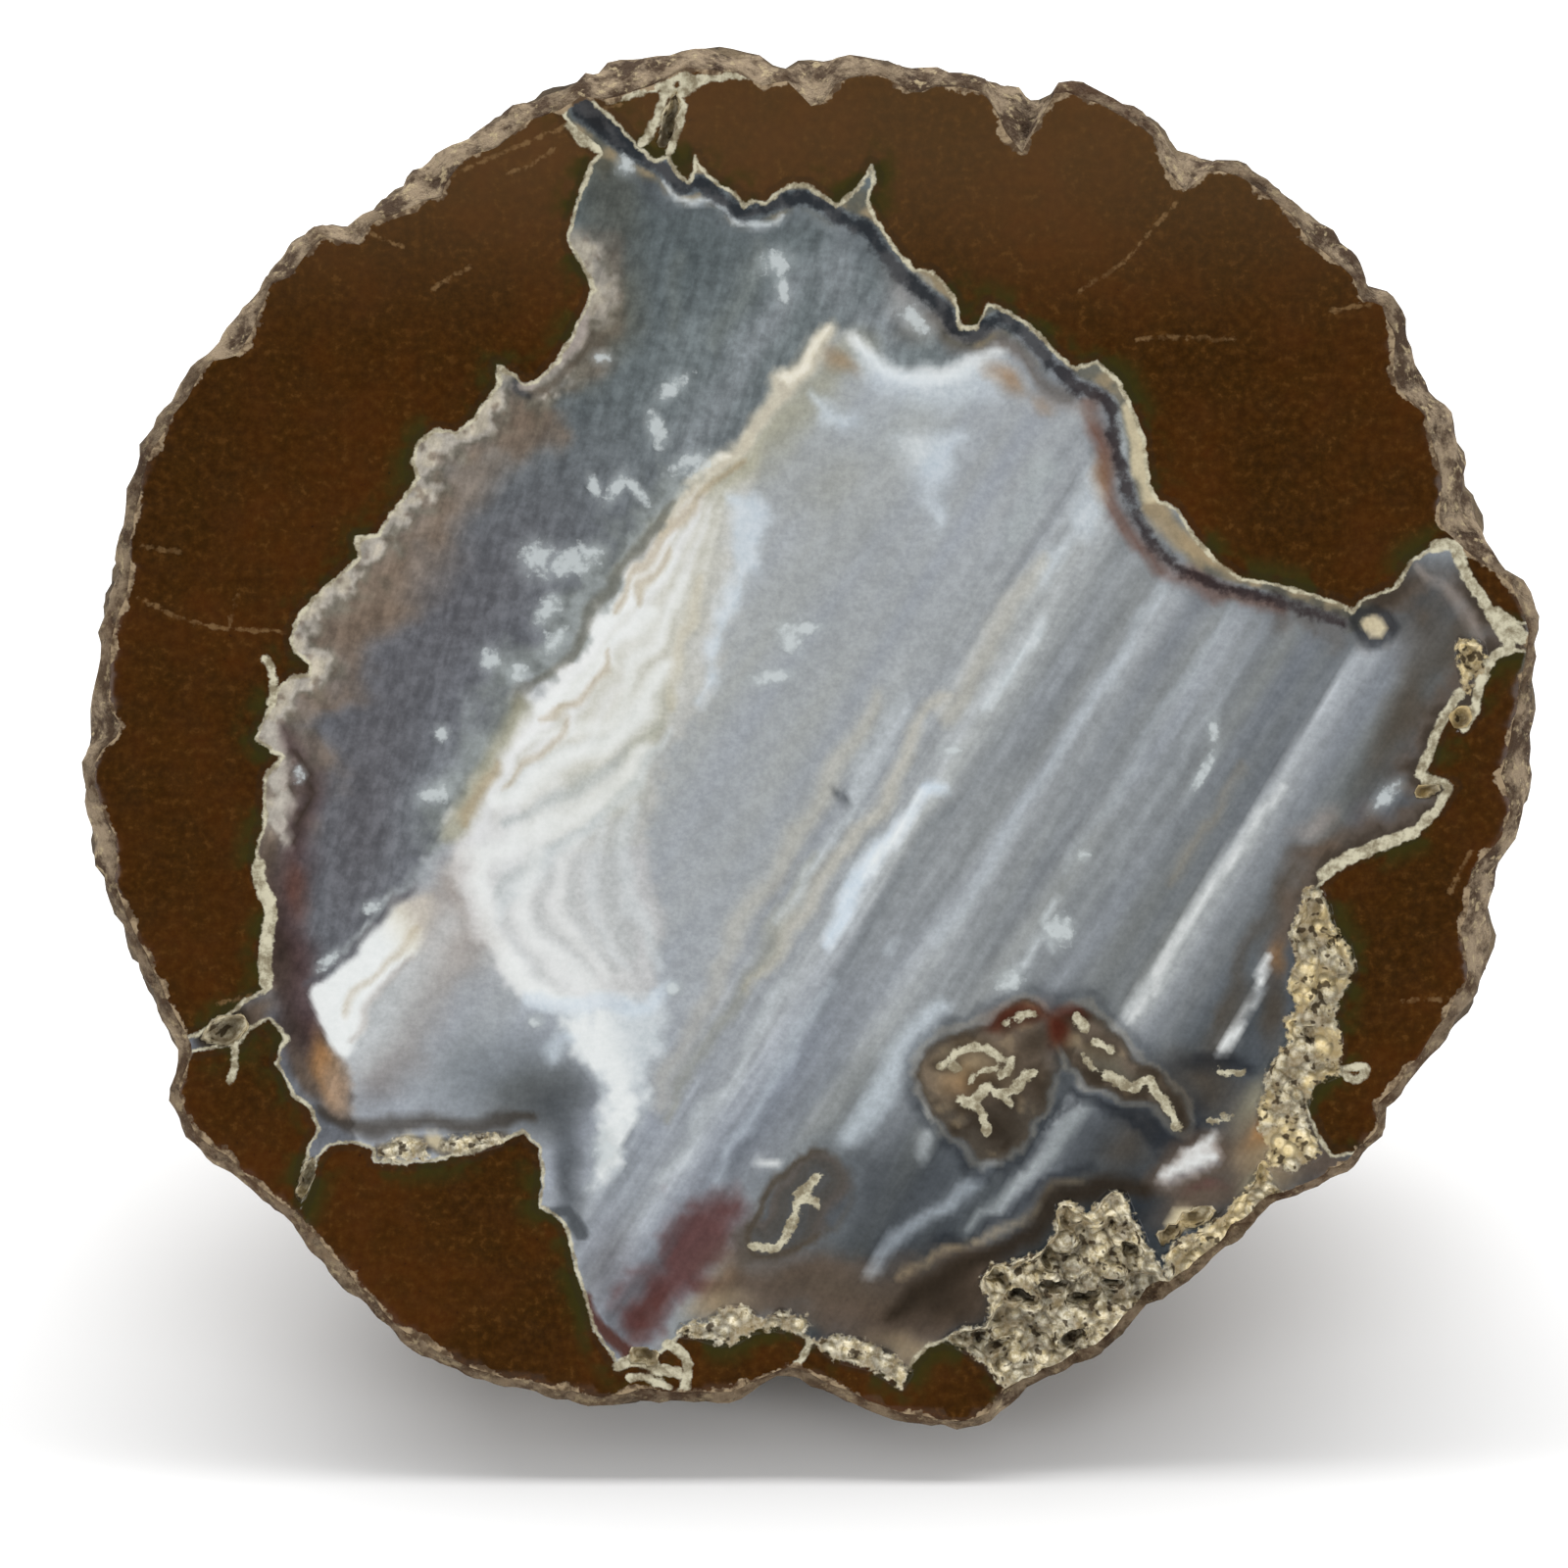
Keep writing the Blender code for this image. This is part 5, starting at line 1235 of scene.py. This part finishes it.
worm = np.min([to_line(rounded(points), face_spots, 3)[0] - width / 2
               for width, points in WORMS], axis=0)
stroke("milk", [(-3.6, -26.8), (-2.4, -26.9)], 0.5, 0.8, 0.6)

# %% White flecks
LONGER, WIDER = 1.15, 1.3                   # how much larger a fleck's soft edge makes it
# Middle, half length and half width in mm, and turn in degrees
FLECKS = [
    (-2.4, 33.2, 0.9, 0.6, 10), (-2.0, 31.8, 0.4, 1.0, 10), (7.0, 29.2, 1.1, 0.5, -48),
    (-12.3, 39.5, 0.5, 0.5, 0), (-9.2, 24.9, 1.0, 0.4, 40), (-10.3, 22.2, 0.5, 0.9, 20),
    (-8.0, 19.9, 1.2, 0.5, 20), (-13.0, 18.2, 0.4, 0.9, -30), (-11.6, 18.1, 0.3, 0.9, 40),
    (-14.4, 18.4, 0.3, 0.6, 20), (-13.9, 26.9, 0.5, 0.3, 0), (-18.2, 13.6, 1.0, 0.8, 20),
    (-16.2, 13.3, 1.8, 0.7, 20), (-14.6, 14.0, 0.8, 0.4, 10), (-17.6, 10.2, 0.5, 1.0, -30),
    (-17.0, 8.2, 0.9, 0.4, 45), (-21.4, 6.9, 0.6, 0.6, 0), (-19.4, 6.0, 0.6, 0.4, 45),
    (-24.6, 2.0, 0.4, 0.4, 0), (-25.0, -2.0, 1.0, 0.5, 20), (-29.3, -9.6, 0.6, 0.3, 20),
    (-32.2, -13.2, 0.9, 0.3, 40), (-1.4, 8.3, 0.9, 0.5, -60), (-0.4, 8.9, 1.0, 0.3, 5),
    (-2.6, 5.7, 1.3, 0.35, 10), (9.2, 0.8, 0.6, 0.25, 5), (26.8, 2.2, 0.3, 0.7, 0),
    (26.2, -0.6, 0.3, 1.3, -32), (38.4, -2.2, 1.1, 0.4, 45), (-9.2, -15.1, 0.4, 0.3, 0),
    (-34.1, -0.8, 0.3, 0.4, 0), (-18.4, -17.3, 0.4, 0.3, 0), (16.6, -11.2, 0.8, 0.7, 0),
    (13.4, -14.6, 0.8, 0.5, 10), (18.2, -6.2, 0.4, 0.3, 0), (-13.8, -26.0, 0.6, 0.8, 0),
]
fleck = np.full(len(canvas), FAR)
for s, t, half_length, half_width, turned in FLECKS:
    q = ellipse(face_spots, (s, t), half_length * LONGER, half_width * WIDER, turned)
    fleck = np.minimum(fleck, q)
lay("mist", 0.5 * (1 - smooth(fleck, 0.5, 2.0)))
print("flecks:", len(FLECKS))

# %% [markdown]
# ## From paint to attributes
# The painting goes onto the mesh as one colour attribute, in linear light. Beside it go plain distances
# in mm: to the edge of the agate, to the nearest vein, to the nearest hairline crack in the brown rock,
# and into the crusts. The material draws its fine lines and its crisp edges from those, finer than the
# mesh itself is.

# %% Attributes
cut_spots = spots[on_cut]
vein = np.full(len(place), FAR)
vein[on_cut] = np.min([to_line(rounded(p), cut_spots, 4)[0] - half for half, p in CREAM_VEINS], axis=0)
rim_in = np.zeros(len(place))
rim_in[on_cut] = to_line(np.vstack((rim, rim[:1])), cut_spots, 6)[0]
crack = np.full(len(place), FAR)
crack[on_cut] = np.min([to_line(rounded(p), cut_spots, 3)[0] for p in CRACKS], axis=0)


def set_attribute(name, values):
    """Keeps one number for each point of the stone."""
    stone.data.attributes.new(name, "FLOAT", "POINT").data.foreach_set("value", values.astype(np.float32))


distances = {"agate_in": agate_in, "vein": vein, "crack": crack, "rim_in": rim_in, "crust": crust_in,
             "hollow": hollow}
for name, values in distances.items():
    set_attribute(name, values)


def to_linear(display):
    """Display values from 0 to 255, turned to linear light."""
    value = np.clip(np.asarray(display, float) / 255, 0, 1)
    return np.where(value <= 0.04045, value / 12.92, ((value + 0.055) / 1.055) ** 2.4)


tint = np.ones((len(place), 4))
tint[:, :3] = to_linear(PALETTE["slate"])
tint[canvas, :3] = to_linear(paint)
agate_tint = stone.data.attributes.new("agate_tint", "FLOAT_COLOR", "POINT")
agate_tint.data.foreach_set("color", tint.ravel().astype(np.float32))
level = smooth(plume_in, -0.1, 0.3) * (1 - in_plume) * smooth(ACROSS, -1, 6) * shown
painted = {"level": level, "lobe": (1 - smooth(plume_in, -0.3, 0.1)) * shown, "fold": fold,
           "fold_low": lower, "fold_in": in_plume * shown, "coat": coat, "worm": worm, "fleck": fleck}
for name, values in painted.items():
    whole = np.full(len(place), FAR if name in ("coat", "worm", "fleck") else 0.0)
    whole[canvas] = values
    set_attribute(name, whole)
print("attributes:", ", ".join(a.name for a in stone.data.attributes if not a.name.startswith(".")))

# %% [markdown]
# ## Node helpers
# Materials and node groups are built from a few calls, so that each step of a finish is one line.

# %% Node helpers
def add(tree, kind, inputs=None, **settings):
    """Adds a node, sets its options, and links or sets its inputs."""
    made = tree.nodes.new("ShaderNode" + kind)
    for name, value in settings.items():
        setattr(made, name, value)
    for socket, value in (inputs or {}).items():
        if isinstance(value, bpy.types.NodeSocket):
            tree.links.new(value, made.inputs[socket])
        else:
            made.inputs[socket].default_value = value
    return made


def maths(tree, operation, a, b=0.0, c=0.0):
    """One Math node's result."""
    return add(tree, "Math", {0: a, 1: b, 2: c}, operation=operation).outputs[0]


def ramp(tree, value, low, high, start=0.0, end=1.0):
    """A smooth step from start to end as value goes from low to high."""
    inputs = {0: value, 1: low, 2: high, 3: start, 4: end}
    return add(tree, "MapRange", inputs, interpolation_type="SMOOTHSTEP").outputs[0]


def tone_mix(tree, share, a, b, blend="MIX"):
    """Two colours mixed by a share; a plain colour is given in display values."""
    a, b = (c if isinstance(c, bpy.types.NodeSocket) else (*to_linear(c), 1.0) for c in (a, b))
    return add(tree, "Mix", {0: share, 6: a, 7: b}, data_type="RGBA", blend_type=blend).outputs[2]


def speckle(tree, place, scale, detail=3.0, rough=0.55, distortion=0.0):
    """Noise, from 0 to 1, with scale in waves per mm."""
    inputs = {"Vector": place, "Scale": scale, "Detail": detail, "Roughness": rough,
              "Distortion": distortion}
    return add(tree, "TexNoise", inputs).outputs[0]


def reading(tree, name, output="Fac"):
    """What an attribute holds."""
    return add(tree, "Attribute", attribute_name=name).outputs[output]


def new_group(name, inputs, outputs):
    """A node group with named sockets, its input node and its output node."""
    tree = bpy.data.node_groups.new(name, "ShaderNodeTree")
    for socket, kind in inputs.items():
        tree.interface.new_socket(socket, in_out="INPUT", socket_type="NodeSocket" + kind)
    for socket, kind in outputs.items():
        tree.interface.new_socket(socket, in_out="OUTPUT", socket_type="NodeSocket" + kind)
    return tree, tree.nodes.new("NodeGroupInput").outputs, tree.nodes.new("NodeGroupOutput").inputs


def use_group(tree, name, **inputs):
    """Places a node group in a material, and gives its outputs."""
    return add(tree, "Group", inputs, node_tree=bpy.data.node_groups[name]).outputs


# %% [markdown]
# ## Shared finishes
# Three things show up on both the cut and the rind. Face place turns Object coordinates into
# millimetres on the flat of the cut, so every pattern below has a real size. Brown rock is the volcanic
# rock itself, umber with rusty clouds, fine grain and dark specks. Porous crust is the pale, spongy
# mineral that filled the gaps.

# %% Face place group
turn_back = Matrix.Rotation(-(math.pi / 2 - FACE_LEAN), 3, "X")
face_middle = Vector((0.0, face_y, FACE_HEIGHT))
tree, given, result = new_group("face_place", {}, {"Place": "Vector"})
coordinates = add(tree, "TexCoord").outputs["Object"]
mapped = add(tree, "Mapping", {
    "Vector": coordinates, "Location": -(turn_back @ face_middle) / MM,
    "Rotation": (-(math.pi / 2 - FACE_LEAN), 0, 0), "Scale": (1 / MM, 1 / MM, 1 / MM)})
tree.links.new(mapped.outputs[0], result["Place"])

# %% Brown rock group
tree, given, result = new_group("brown_rock", {"Place": "Vector"}, {"Color": "Color"})
spot = given["Place"]
clouds = speckle(tree, spot, 0.09, 3, 0.6)
cloudy = ramp(tree, clouds, 0.38, 0.66)
mottled = ramp(tree, speckle(tree, spot, 0.42, 3, 0.62), 0.36, 0.68)
sandy = speckle(tree, spot, 1.7, 3, 0.6)
grain = ramp(tree, sandy, 0.32, 0.7)
rock = tone_mix(tree, cloudy, (48, 27, 3), (68, 35, 6))
rock = tone_mix(tree, maths(tree, "MULTIPLY", mottled, 0.55), rock, (53, 33, 6))
rock = tone_mix(tree, maths(tree, "MULTIPLY", grain, 0.5), rock, (81, 49, 14))
bright = maths(tree, "MULTIPLY", ramp(tree, sandy, 0.56, 0.66), mottled)
rock = tone_mix(tree, maths(tree, "MULTIPLY", bright, 0.3), rock, (106, 72, 32))
specks = ramp(tree, sandy, 0.27, 0.31, 1.0, 0.0)
thinned = ramp(tree, clouds, 0.54, 0.6)
rock = tone_mix(tree, maths(tree, "MULTIPLY", specks, thinned), rock, (34, 20, 8))
tree.links.new(rock, result["Color"])

# %% Porous crust group
tree, given, result = new_group("porous_crust", {"Place": "Vector", "Hollow": "Float"},
                                {"Color": "Color", "Height": "Float"})
spot = given["Place"]
nearest = add(tree, "TexVoronoi", {"Vector": spot, "Scale": 1.05}).outputs["Distance"]
nubs = ramp(tree, nearest, 0.3, 0.8, 1.0, 0.0)
fine = speckle(tree, spot, 2.4, 2, 0.7)
pale = tone_mix(tree, ramp(tree, fine, 0.34, 0.66), (180, 168, 136), (252, 245, 222))
patches = speckle(tree, spot, 0.36, 1)
greyer = ramp(tree, patches, 0.5, 0.62, 0.0, 0.3)
pale = tone_mix(tree, greyer, pale, (136, 130, 112))
rightward = add(tree, "SeparateXYZ", {0: spot}).outputs[0]
yellow = maths(tree, "MULTIPLY", ramp(tree, rightward, 22.0, 31.0, 0.35, 1.0),
               ramp(tree, patches, 0.44, 0.58, 0.9, 0.2))
pale = tone_mix(tree, maths(tree, "MULTIPLY", yellow, 0.7), pale, (246, 220, 156))
# Painted shade: darker seams between the nubs, dark spots for the holes, and darker colour the deeper a
# hollow is
seam_shade = maths(tree, "MULTIPLY", maths(tree, "SUBTRACT", 1.0, nubs), 0.62)
pale = tone_mix(tree, seam_shade, pale, (104, 84, 56))
hole_shade = ramp(tree, speckle(tree, spot, 1.1, 2, 0.6), 0.57, 0.64, 0.0, 0.9)
pale = tone_mix(tree, hole_shade, pale, (70, 56, 38))
depth_shade = ramp(tree, given["Hollow"], 0.8, 2.4, 0.0, 0.7)
pale = tone_mix(tree, depth_shade, pale, (44, 36, 26))
tree.links.new(pale, result["Color"])
tree.links.new(nubs, result["Height"])
print("shared groups:", ", ".join(g.name for g in bpy.data.node_groups))

# %% [markdown]
# ## The polished cut
# A lap polished the agate and the rock to one level, so both share a soft gloss. The crusts stayed
# rough, because the lap can't reach into their holes. The agate's edge is a thin cream line of the
# first silica skin.

# %% Polished cut
tree = cut_finish.node_tree
shader = tree.nodes["Principled BSDF"]
spot = use_group(tree, "face_place")["Place"]
broad = speckle(tree, spot, 0.22, 3, 0.65)
soft = speckle(tree, spot, 0.45, 4, 0.62)
middling_noise = speckle(tree, spot, 0.95, 4, 0.65)
fine = speckle(tree, spot, 3.2, 3, 0.65)
jitter = maths(tree, "SUBTRACT", speckle(tree, spot, 1.6, 3, 0.6), 0.5)
ragged = maths(tree, "SUBTRACT", middling_noise, 0.5)
edge = maths(tree, "MULTIPLY_ADD", jitter, 0.55, reading(tree, "agate_in"))

ground = use_group(tree, "brown_rock", Place=spot)["Color"]
rightward, upward = add(tree, "SeparateXYZ", {0: spot}).outputs[:2]
# The rock is made lighter towards the top of the face
ground = tone_mix(tree, ramp(tree, upward, 26.0, 42.0, 0.0, 0.34), ground, (104, 80, 52))
olive = ramp(tree, edge, -2.2, -0.3)
olive = maths(tree, "MULTIPLY", olive, ramp(tree, broad, 0.44, 0.58))
ground = tone_mix(tree, maths(tree, "MULTIPLY", olive, 0.85), ground, (50, 50, 16))
hairline = ramp(tree, maths(tree, "MULTIPLY_ADD", jitter, 0.9, reading(tree, "crack")), 0.0, 0.2, 0.75, 0.0)
hairline = maths(tree, "MULTIPLY", hairline, ramp(tree, soft, 0.36, 0.56, 0.25, 1.0))
ground = tone_mix(tree, hairline, ground, (124, 96, 62))


def streaks(turn, along, across, detail, low, high):
    """Long thin streaks that run at an angle over the face, from 0 to 1."""
    turned = add(tree, "Mapping", {"Vector": spot, "Rotation": (0, 0, -turn)}).outputs[0]
    stretched = add(tree, "Mapping", {"Vector": turned, "Scale": (along, across, 1.0)}).outputs[0]
    return ramp(tree, speckle(tree, stretched, 1.0, detail, 0.6), low, high)


def fold_ramp(tones, warmth):
    """The tones of the folds as a colour ramp; darker folds are warmer."""
    node = add(tree, "ValToRGB", {0: wavy_fold})
    stops = node.color_ramp.elements
    for i, (at, tone) in enumerate(tones):
        warm_share = warmth * float(smooth(np.float64(236 - tone), 4, 40))
        stop = stops[i] if i < 2 else stops.new(at)
        stop.position = at
        stop.color = (*to_linear([tone + 2 * warm_share, tone + 1, tone - 1 - 12 * warm_share]), 1.0)
    return node.outputs[0]


# %% Folds and waterlines
wavy_fold = maths(tree, "MULTIPLY_ADD", maths(tree, "SUBTRACT", soft, 0.5), 0.16,
                  reading(tree, "fold"))
folds = tone_mix(tree, reading(tree, "fold_low"), fold_ramp(UPPER_FOLDS, 1.0), fold_ramp(LOWER_FOLDS, 0.2))
agate = reading(tree, "agate_tint", "Color")
agate = tone_mix(tree, maths(tree, "MULTIPLY", reading(tree, "fold_in"), 0.22), agate, folds)
for turn, along, across, detail, low, high, mask, strength in (
        (LEVEL_TURN, 0.035, 0.42, 3, 0.34, 0.66, "level", 0.10),
        (LEVEL_TURN, 0.14, 1.7, 2, 0.34, 0.66, "level", 0.05),
        (math.radians(72), 0.3, 1.3, 3, 0.34, 0.66, "lobe", 0.14)):
    streak = streaks(turn, along, across, detail, low, high)
    agate = tone_mix(tree, maths(tree, "MULTIPLY", reading(tree, mask), strength), agate, streak, "OVERLAY")
mottle = ramp(tree, middling_noise, 0.34, 0.66)
mottled = maths(tree, "MULTIPLY_ADD", reading(tree, "lobe"), 0.10, 0.08)
agate = tone_mix(tree, mottled, agate, mottle, "OVERLAY")
agate = tone_mix(tree, 0.22, agate, fine, "OVERLAY")

# %% Coat, flecks and worms
cream = tone_mix(tree, ramp(tree, middling_noise, 0.36, 0.62), (136, 126, 102), (208, 202, 176))
coat_in = ramp(tree, maths(tree, "MULTIPLY_ADD", ragged, 1.4, reading(tree, "coat")), -0.3, 0.3, 0.88, 0.0)
coat_tone = tone_mix(tree, ramp(tree, soft, 0.42, 0.6), (28, 31, 36), (66, 66, 68))
coat_tone = tone_mix(tree, ramp(tree, rightward, 14.0, 19.0, 0.0, 0.6), coat_tone, (46, 28, 26))
agate = tone_mix(tree, coat_in, agate, coat_tone)
wisp = maths(tree, "MULTIPLY_ADD", jitter, 2.2, reading(tree, "fleck"))
wisp = maths(tree, "MULTIPLY_ADD", ragged, 3.0, wisp)
agate = tone_mix(tree, ramp(tree, wisp, 0.3, 1.2, 0.66, 0.0), agate, (206, 213, 214))
worm_in = maths(tree, "MULTIPLY_ADD", ragged, 0.9, reading(tree, "worm"))
worm_in = maths(tree, "MULTIPLY_ADD", jitter, 0.7, worm_in)
worm_in = ramp(tree, worm_in, -0.08, 0.08, 0.95, 0.0)
agate = tone_mix(tree, worm_in, agate, cream)
surface = tone_mix(tree, ramp(tree, edge, -0.10, 0.10), ground, agate)
shadow_line = ramp(tree, maths(tree, "ABSOLUTE", maths(tree, "ADD", edge, 0.3)), 0.1, 0.35, 0.35, 0.0)
surface = tone_mix(tree, shadow_line, surface, (44, 36, 24))
skin_wide = maths(tree, "MULTIPLY_ADD", soft, 0.34, -0.07)
skin = maths(tree, "ABSOLUTE", maths(tree, "SUBTRACT", edge, 0.10))
skin = ramp(tree, maths(tree, "SUBTRACT", skin, skin_wide), -0.07, 0.1, 0.9, 0.0)
surface = tone_mix(tree, skin, surface, cream)
thread = ramp(tree, maths(tree, "MULTIPLY_ADD", jitter, 0.6, reading(tree, "vein")), -0.06, 0.12, 0.95, 0.0)
surface = tone_mix(tree, thread, surface, cream)
chipped = maths(tree, "MULTIPLY_ADD", soft, -2.6, reading(tree, "rim_in"))
chipped = ramp(tree, chipped, -1.25, -1.1, 1.0, 0.0)
chip_tone = tone_mix(tree, ramp(tree, middling_noise, 0.4, 0.6), (84, 66, 48), (156, 136, 108))
surface = tone_mix(tree, chipped, surface, chip_tone)

crust_parts = use_group(tree, "porous_crust", Place=spot, Hollow=reading(tree, "hollow"))
in_crust = maths(tree, "MULTIPLY_ADD", jitter, 1.6, reading(tree, "crust"))
in_crust = maths(tree, "MAXIMUM", ramp(tree, in_crust, -0.15, 0.15),
                 ramp(tree, reading(tree, "hollow"), 0.15, 0.4))
surface = tone_mix(tree, in_crust, surface, crust_parts["Color"])
tree.links.new(surface, shader.inputs["Base Color"])

polish = ramp(tree, soft, 0.3, 0.7, 0.16, 0.26)
rough = maths(tree, "MULTIPLY_ADD", maths(tree, "MAXIMUM", in_crust, chipped), 0.62, polish)
tree.links.new(rough, shader.inputs["Roughness"])
relief = maths(tree, "MULTIPLY", crust_parts["Height"], ramp(tree, reading(tree, "crust"), -0.3, 0.3))
bump = add(tree, "Bump", {"Strength": 0.8, "Distance": 0.9 * MM, "Height": relief})
tree.links.new(bump.outputs[0], shader.inputs["Normal"])
shader.inputs["Specular IOR Level"].default_value = 0.16
print("polished cut:", len(tree.nodes), "nodes")

# %% [markdown]
# ## The rough rind
# The outside weathered to a dull tan and grey skin over the brown rock. Painted shade darkens the creases
# between its knobs and warts and its small pits, and the rim is freshly chipped paler where the saw came
# out.

# %% Rough rind
tree = rind_finish.node_tree
shader = tree.nodes["Principled BSDF"]
spot = use_group(tree, "face_place")["Place"]
rock = use_group(tree, "brown_rock", Place=spot)["Color"]
weather = speckle(tree, spot, 0.11, 5, 0.62, 0.4)
dust = speckle(tree, spot, 0.9, 5, 0.68)
skin = tone_mix(tree, ramp(tree, weather, 0.4, 0.62), (84, 68, 48), (110, 94, 72))
skin = tone_mix(tree, ramp(tree, speckle(tree, spot, 0.24, 4, 0.6), 0.52, 0.66), skin, (64, 48, 32))
skin = tone_mix(tree, ramp(tree, dust, 0.35, 0.7, 0.0, 0.5), skin, (134, 118, 94))
bare = ramp(tree, speckle(tree, spot, 0.075, 3, 0.6, 0.8), 0.56, 0.66, 0.0, 0.8)
skin = tone_mix(tree, bare, skin, rock)
# Painted shade: the creases between the knobs and between the warts are darkened in the colour
crease_shade = ramp(tree, reading(tree, "knob_crease"), 0.0, 0.42, 0.75, 0.0)
skin = tone_mix(tree, crease_shade, skin, (52, 42, 30))
wart_crease_shade = ramp(tree, reading(tree, "wart_crease"), 0.0, 0.45, 0.5, 0.0)
skin = tone_mix(tree, wart_crease_shade, skin, (58, 46, 32))
# Painted shade in the small pits, which the bump below also sinks
shaded_pits = ramp(tree, speckle(tree, spot, 0.8, 4, 0.62, 0.6), 0.58, 0.68, 0.0, 0.75)
skin = tone_mix(tree, shaded_pits, skin, (48, 38, 26))
rim_noise = speckle(tree, spot, 0.5, 4, 0.65)
bare_rim = maths(tree, "MULTIPLY_ADD", rim_noise, -3.6, reading(tree, "behind_face"))
skin = tone_mix(tree, ramp(tree, bare_rim, -1.6, -0.6, 0.6, 0.0), skin, rock)
chip_mottle = ramp(tree, speckle(tree, spot, 0.42, 5, 0.68), 0.4, 0.6)
chip_tone = tone_mix(tree, chip_mottle, (70, 52, 36), (152, 134, 110))
chip_grain = ramp(tree, speckle(tree, spot, 1.5, 3, 0.6), 0.55, 0.68, 0.0, 0.7)
chip_tone = tone_mix(tree, chip_grain, chip_tone, (188, 170, 134))
chip_edge = maths(tree, "MULTIPLY_ADD", speckle(tree, spot, 1.1, 3), 0.8, reading(tree, "chip_in"))
broad_chip = ramp(tree, reading(tree, "chip_wide"), 0.1, 0.6, 0.45, 0.95)
chipped = maths(tree, "MULTIPLY", ramp(tree, chip_edge, 0.3, 0.6), broad_chip)
skin = tone_mix(tree, chipped, skin, chip_tone)
tree.links.new(skin, shader.inputs["Base Color"])
tree.links.new(ramp(tree, dust, 0.3, 0.7, 0.78, 0.95), shader.inputs["Roughness"])
relief = maths(tree, "MULTIPLY_ADD", shaded_pits, -0.6, dust)
relief = maths(tree, "MULTIPLY_ADD", speckle(tree, spot, 2.8, 3, 0.6), 0.35, relief)
bump = add(tree, "Bump", {"Strength": 0.75, "Distance": 0.7 * MM, "Height": relief})
tree.links.new(bump.outputs[0], shader.inputs["Normal"])
shader.inputs["Specular IOR Level"].default_value = 0.25
print("rough rind:", len(tree.nodes), "nodes")

# %% [markdown]
# ## Lean the stone back
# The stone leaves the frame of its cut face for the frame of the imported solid: it tips back 65 degrees
# from lying face up, and its lowest points are pressed flat, as the small flat spot under the packed
# solid is.

# %% Place the stone
bpy.ops.object.select_all(action="DESELECT")
stone.select_set(True)
bpy.context.view_layer.objects.active = stone
stone.rotation_euler = (math.pi / 2 - FACE_LEAN, 0, 0)
stone.location = face_middle
bpy.ops.object.transform_apply(location=True, rotation=True, scale=True)
place = points_of(stone)
place[:, 0] -= (place[:, 0].min() + place[:, 0].max()) / 2
pressed = int((place[:, 2] < 0).sum())
place[:, 2] = np.maximum(place[:, 2], 0)
set_points(stone, place)
bpy.ops.object.shade_smooth_by_angle(angle=math.radians(38), keep_sharp_edges=False)
size = (place.max(0) - place.min(0)) / MM
print("stone:", np.round(size, 1), "mm,", pressed, "points pressed flat under it")

# %% Hand the stone over
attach(stone, "root")
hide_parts("agate_nodule")

# %% [markdown]
# ## A pale table in soft daylight
# The stone stands on a seamless white sheet in a white tent, lit by a wide soft source overhead and
# weaker ones at the sides, as on a photographer's light table. The camera looks down on it by 27
# degrees.

# %% Table
bpy.ops.mesh.primitive_plane_add(size=8.0, location=(0, 0, 0))
table = bpy.context.object
table.name = "table"
sheet = bpy.data.materials.new("white_sheet")
sheet.use_nodes = True
sheet_shader = sheet.node_tree.nodes["Principled BSDF"]
sheet_shader.inputs["Base Color"].default_value = (0.9, 0.9, 0.9, 1)
sheet_shader.inputs["Roughness"].default_value = 0.6
sheet_shader.inputs["Specular IOR Level"].default_value = 0.2
table.data.materials.append(sheet)


# %% Lights
def soft_light(name, place, aim, width, height, power, warmth=(1.0, 1.0, 1.0)):
    """A rectangular softbox that faces its aim."""
    lamp = bpy.data.objects.new(name, bpy.data.lights.new(name, "AREA"))
    lamp.data.shape = "RECTANGLE"
    lamp.data.size, lamp.data.size_y = width, height
    lamp.data.energy = power
    lamp.data.color = warmth
    lamp.location = place
    lamp.rotation_euler = (Vector(aim) - Vector(place)).to_track_quat("-Z", "Y").to_euler()
    bpy.context.scene.collection.objects.link(lamp)
    return lamp


soft_light("overhead_strip", (0.0, 0.5, 1.12), (0, 0, 0), 2.4, 0.4, 25)
soft_light("left_softbox", (-0.9, -0.7, 0.35), (0, 0, 0.04), 0.5, 0.5, 4.0)
soft_light("right_softbox", (0.9, -0.7, 0.35), (0, 0, 0.04), 0.5, 0.5, 4.0)
world = bpy.data.worlds.new("pale_room")
world.use_nodes = True
backdrop = world.node_tree.nodes["Background"]
backdrop.inputs["Color"].default_value = (1, 1, 1, 1)
ray = add(world.node_tree, "LightPath").outputs
dim = ramp(world.node_tree, ray["Is Glossy Ray"], 0, 1, 0.42, 0.12)
brightness = ramp(world.node_tree, ray["Is Camera Ray"], 0, 1, dim, 1.0)
world.node_tree.links.new(brightness, backdrop.inputs["Strength"])
bpy.context.scene.world = world
bpy.context.scene.view_settings.view_transform = "Standard"

# %% Camera
CAMERA_DOWN = 27                # degrees, from the coin's outline in the photo
camera = bpy.data.objects.new("camera", bpy.data.cameras.new("camera"))
camera.data.lens = 63
camera.data.sensor_width = 36
camera.location = (-1.8 * MM, face_y - 163.7 * MM, 126 * MM)
camera.rotation_euler = (math.radians(90 - CAMERA_DOWN), 0, 0)
camera.data.clip_start = 0.01
bpy.context.scene.collection.objects.link(camera)
bpy.context.scene.camera = camera
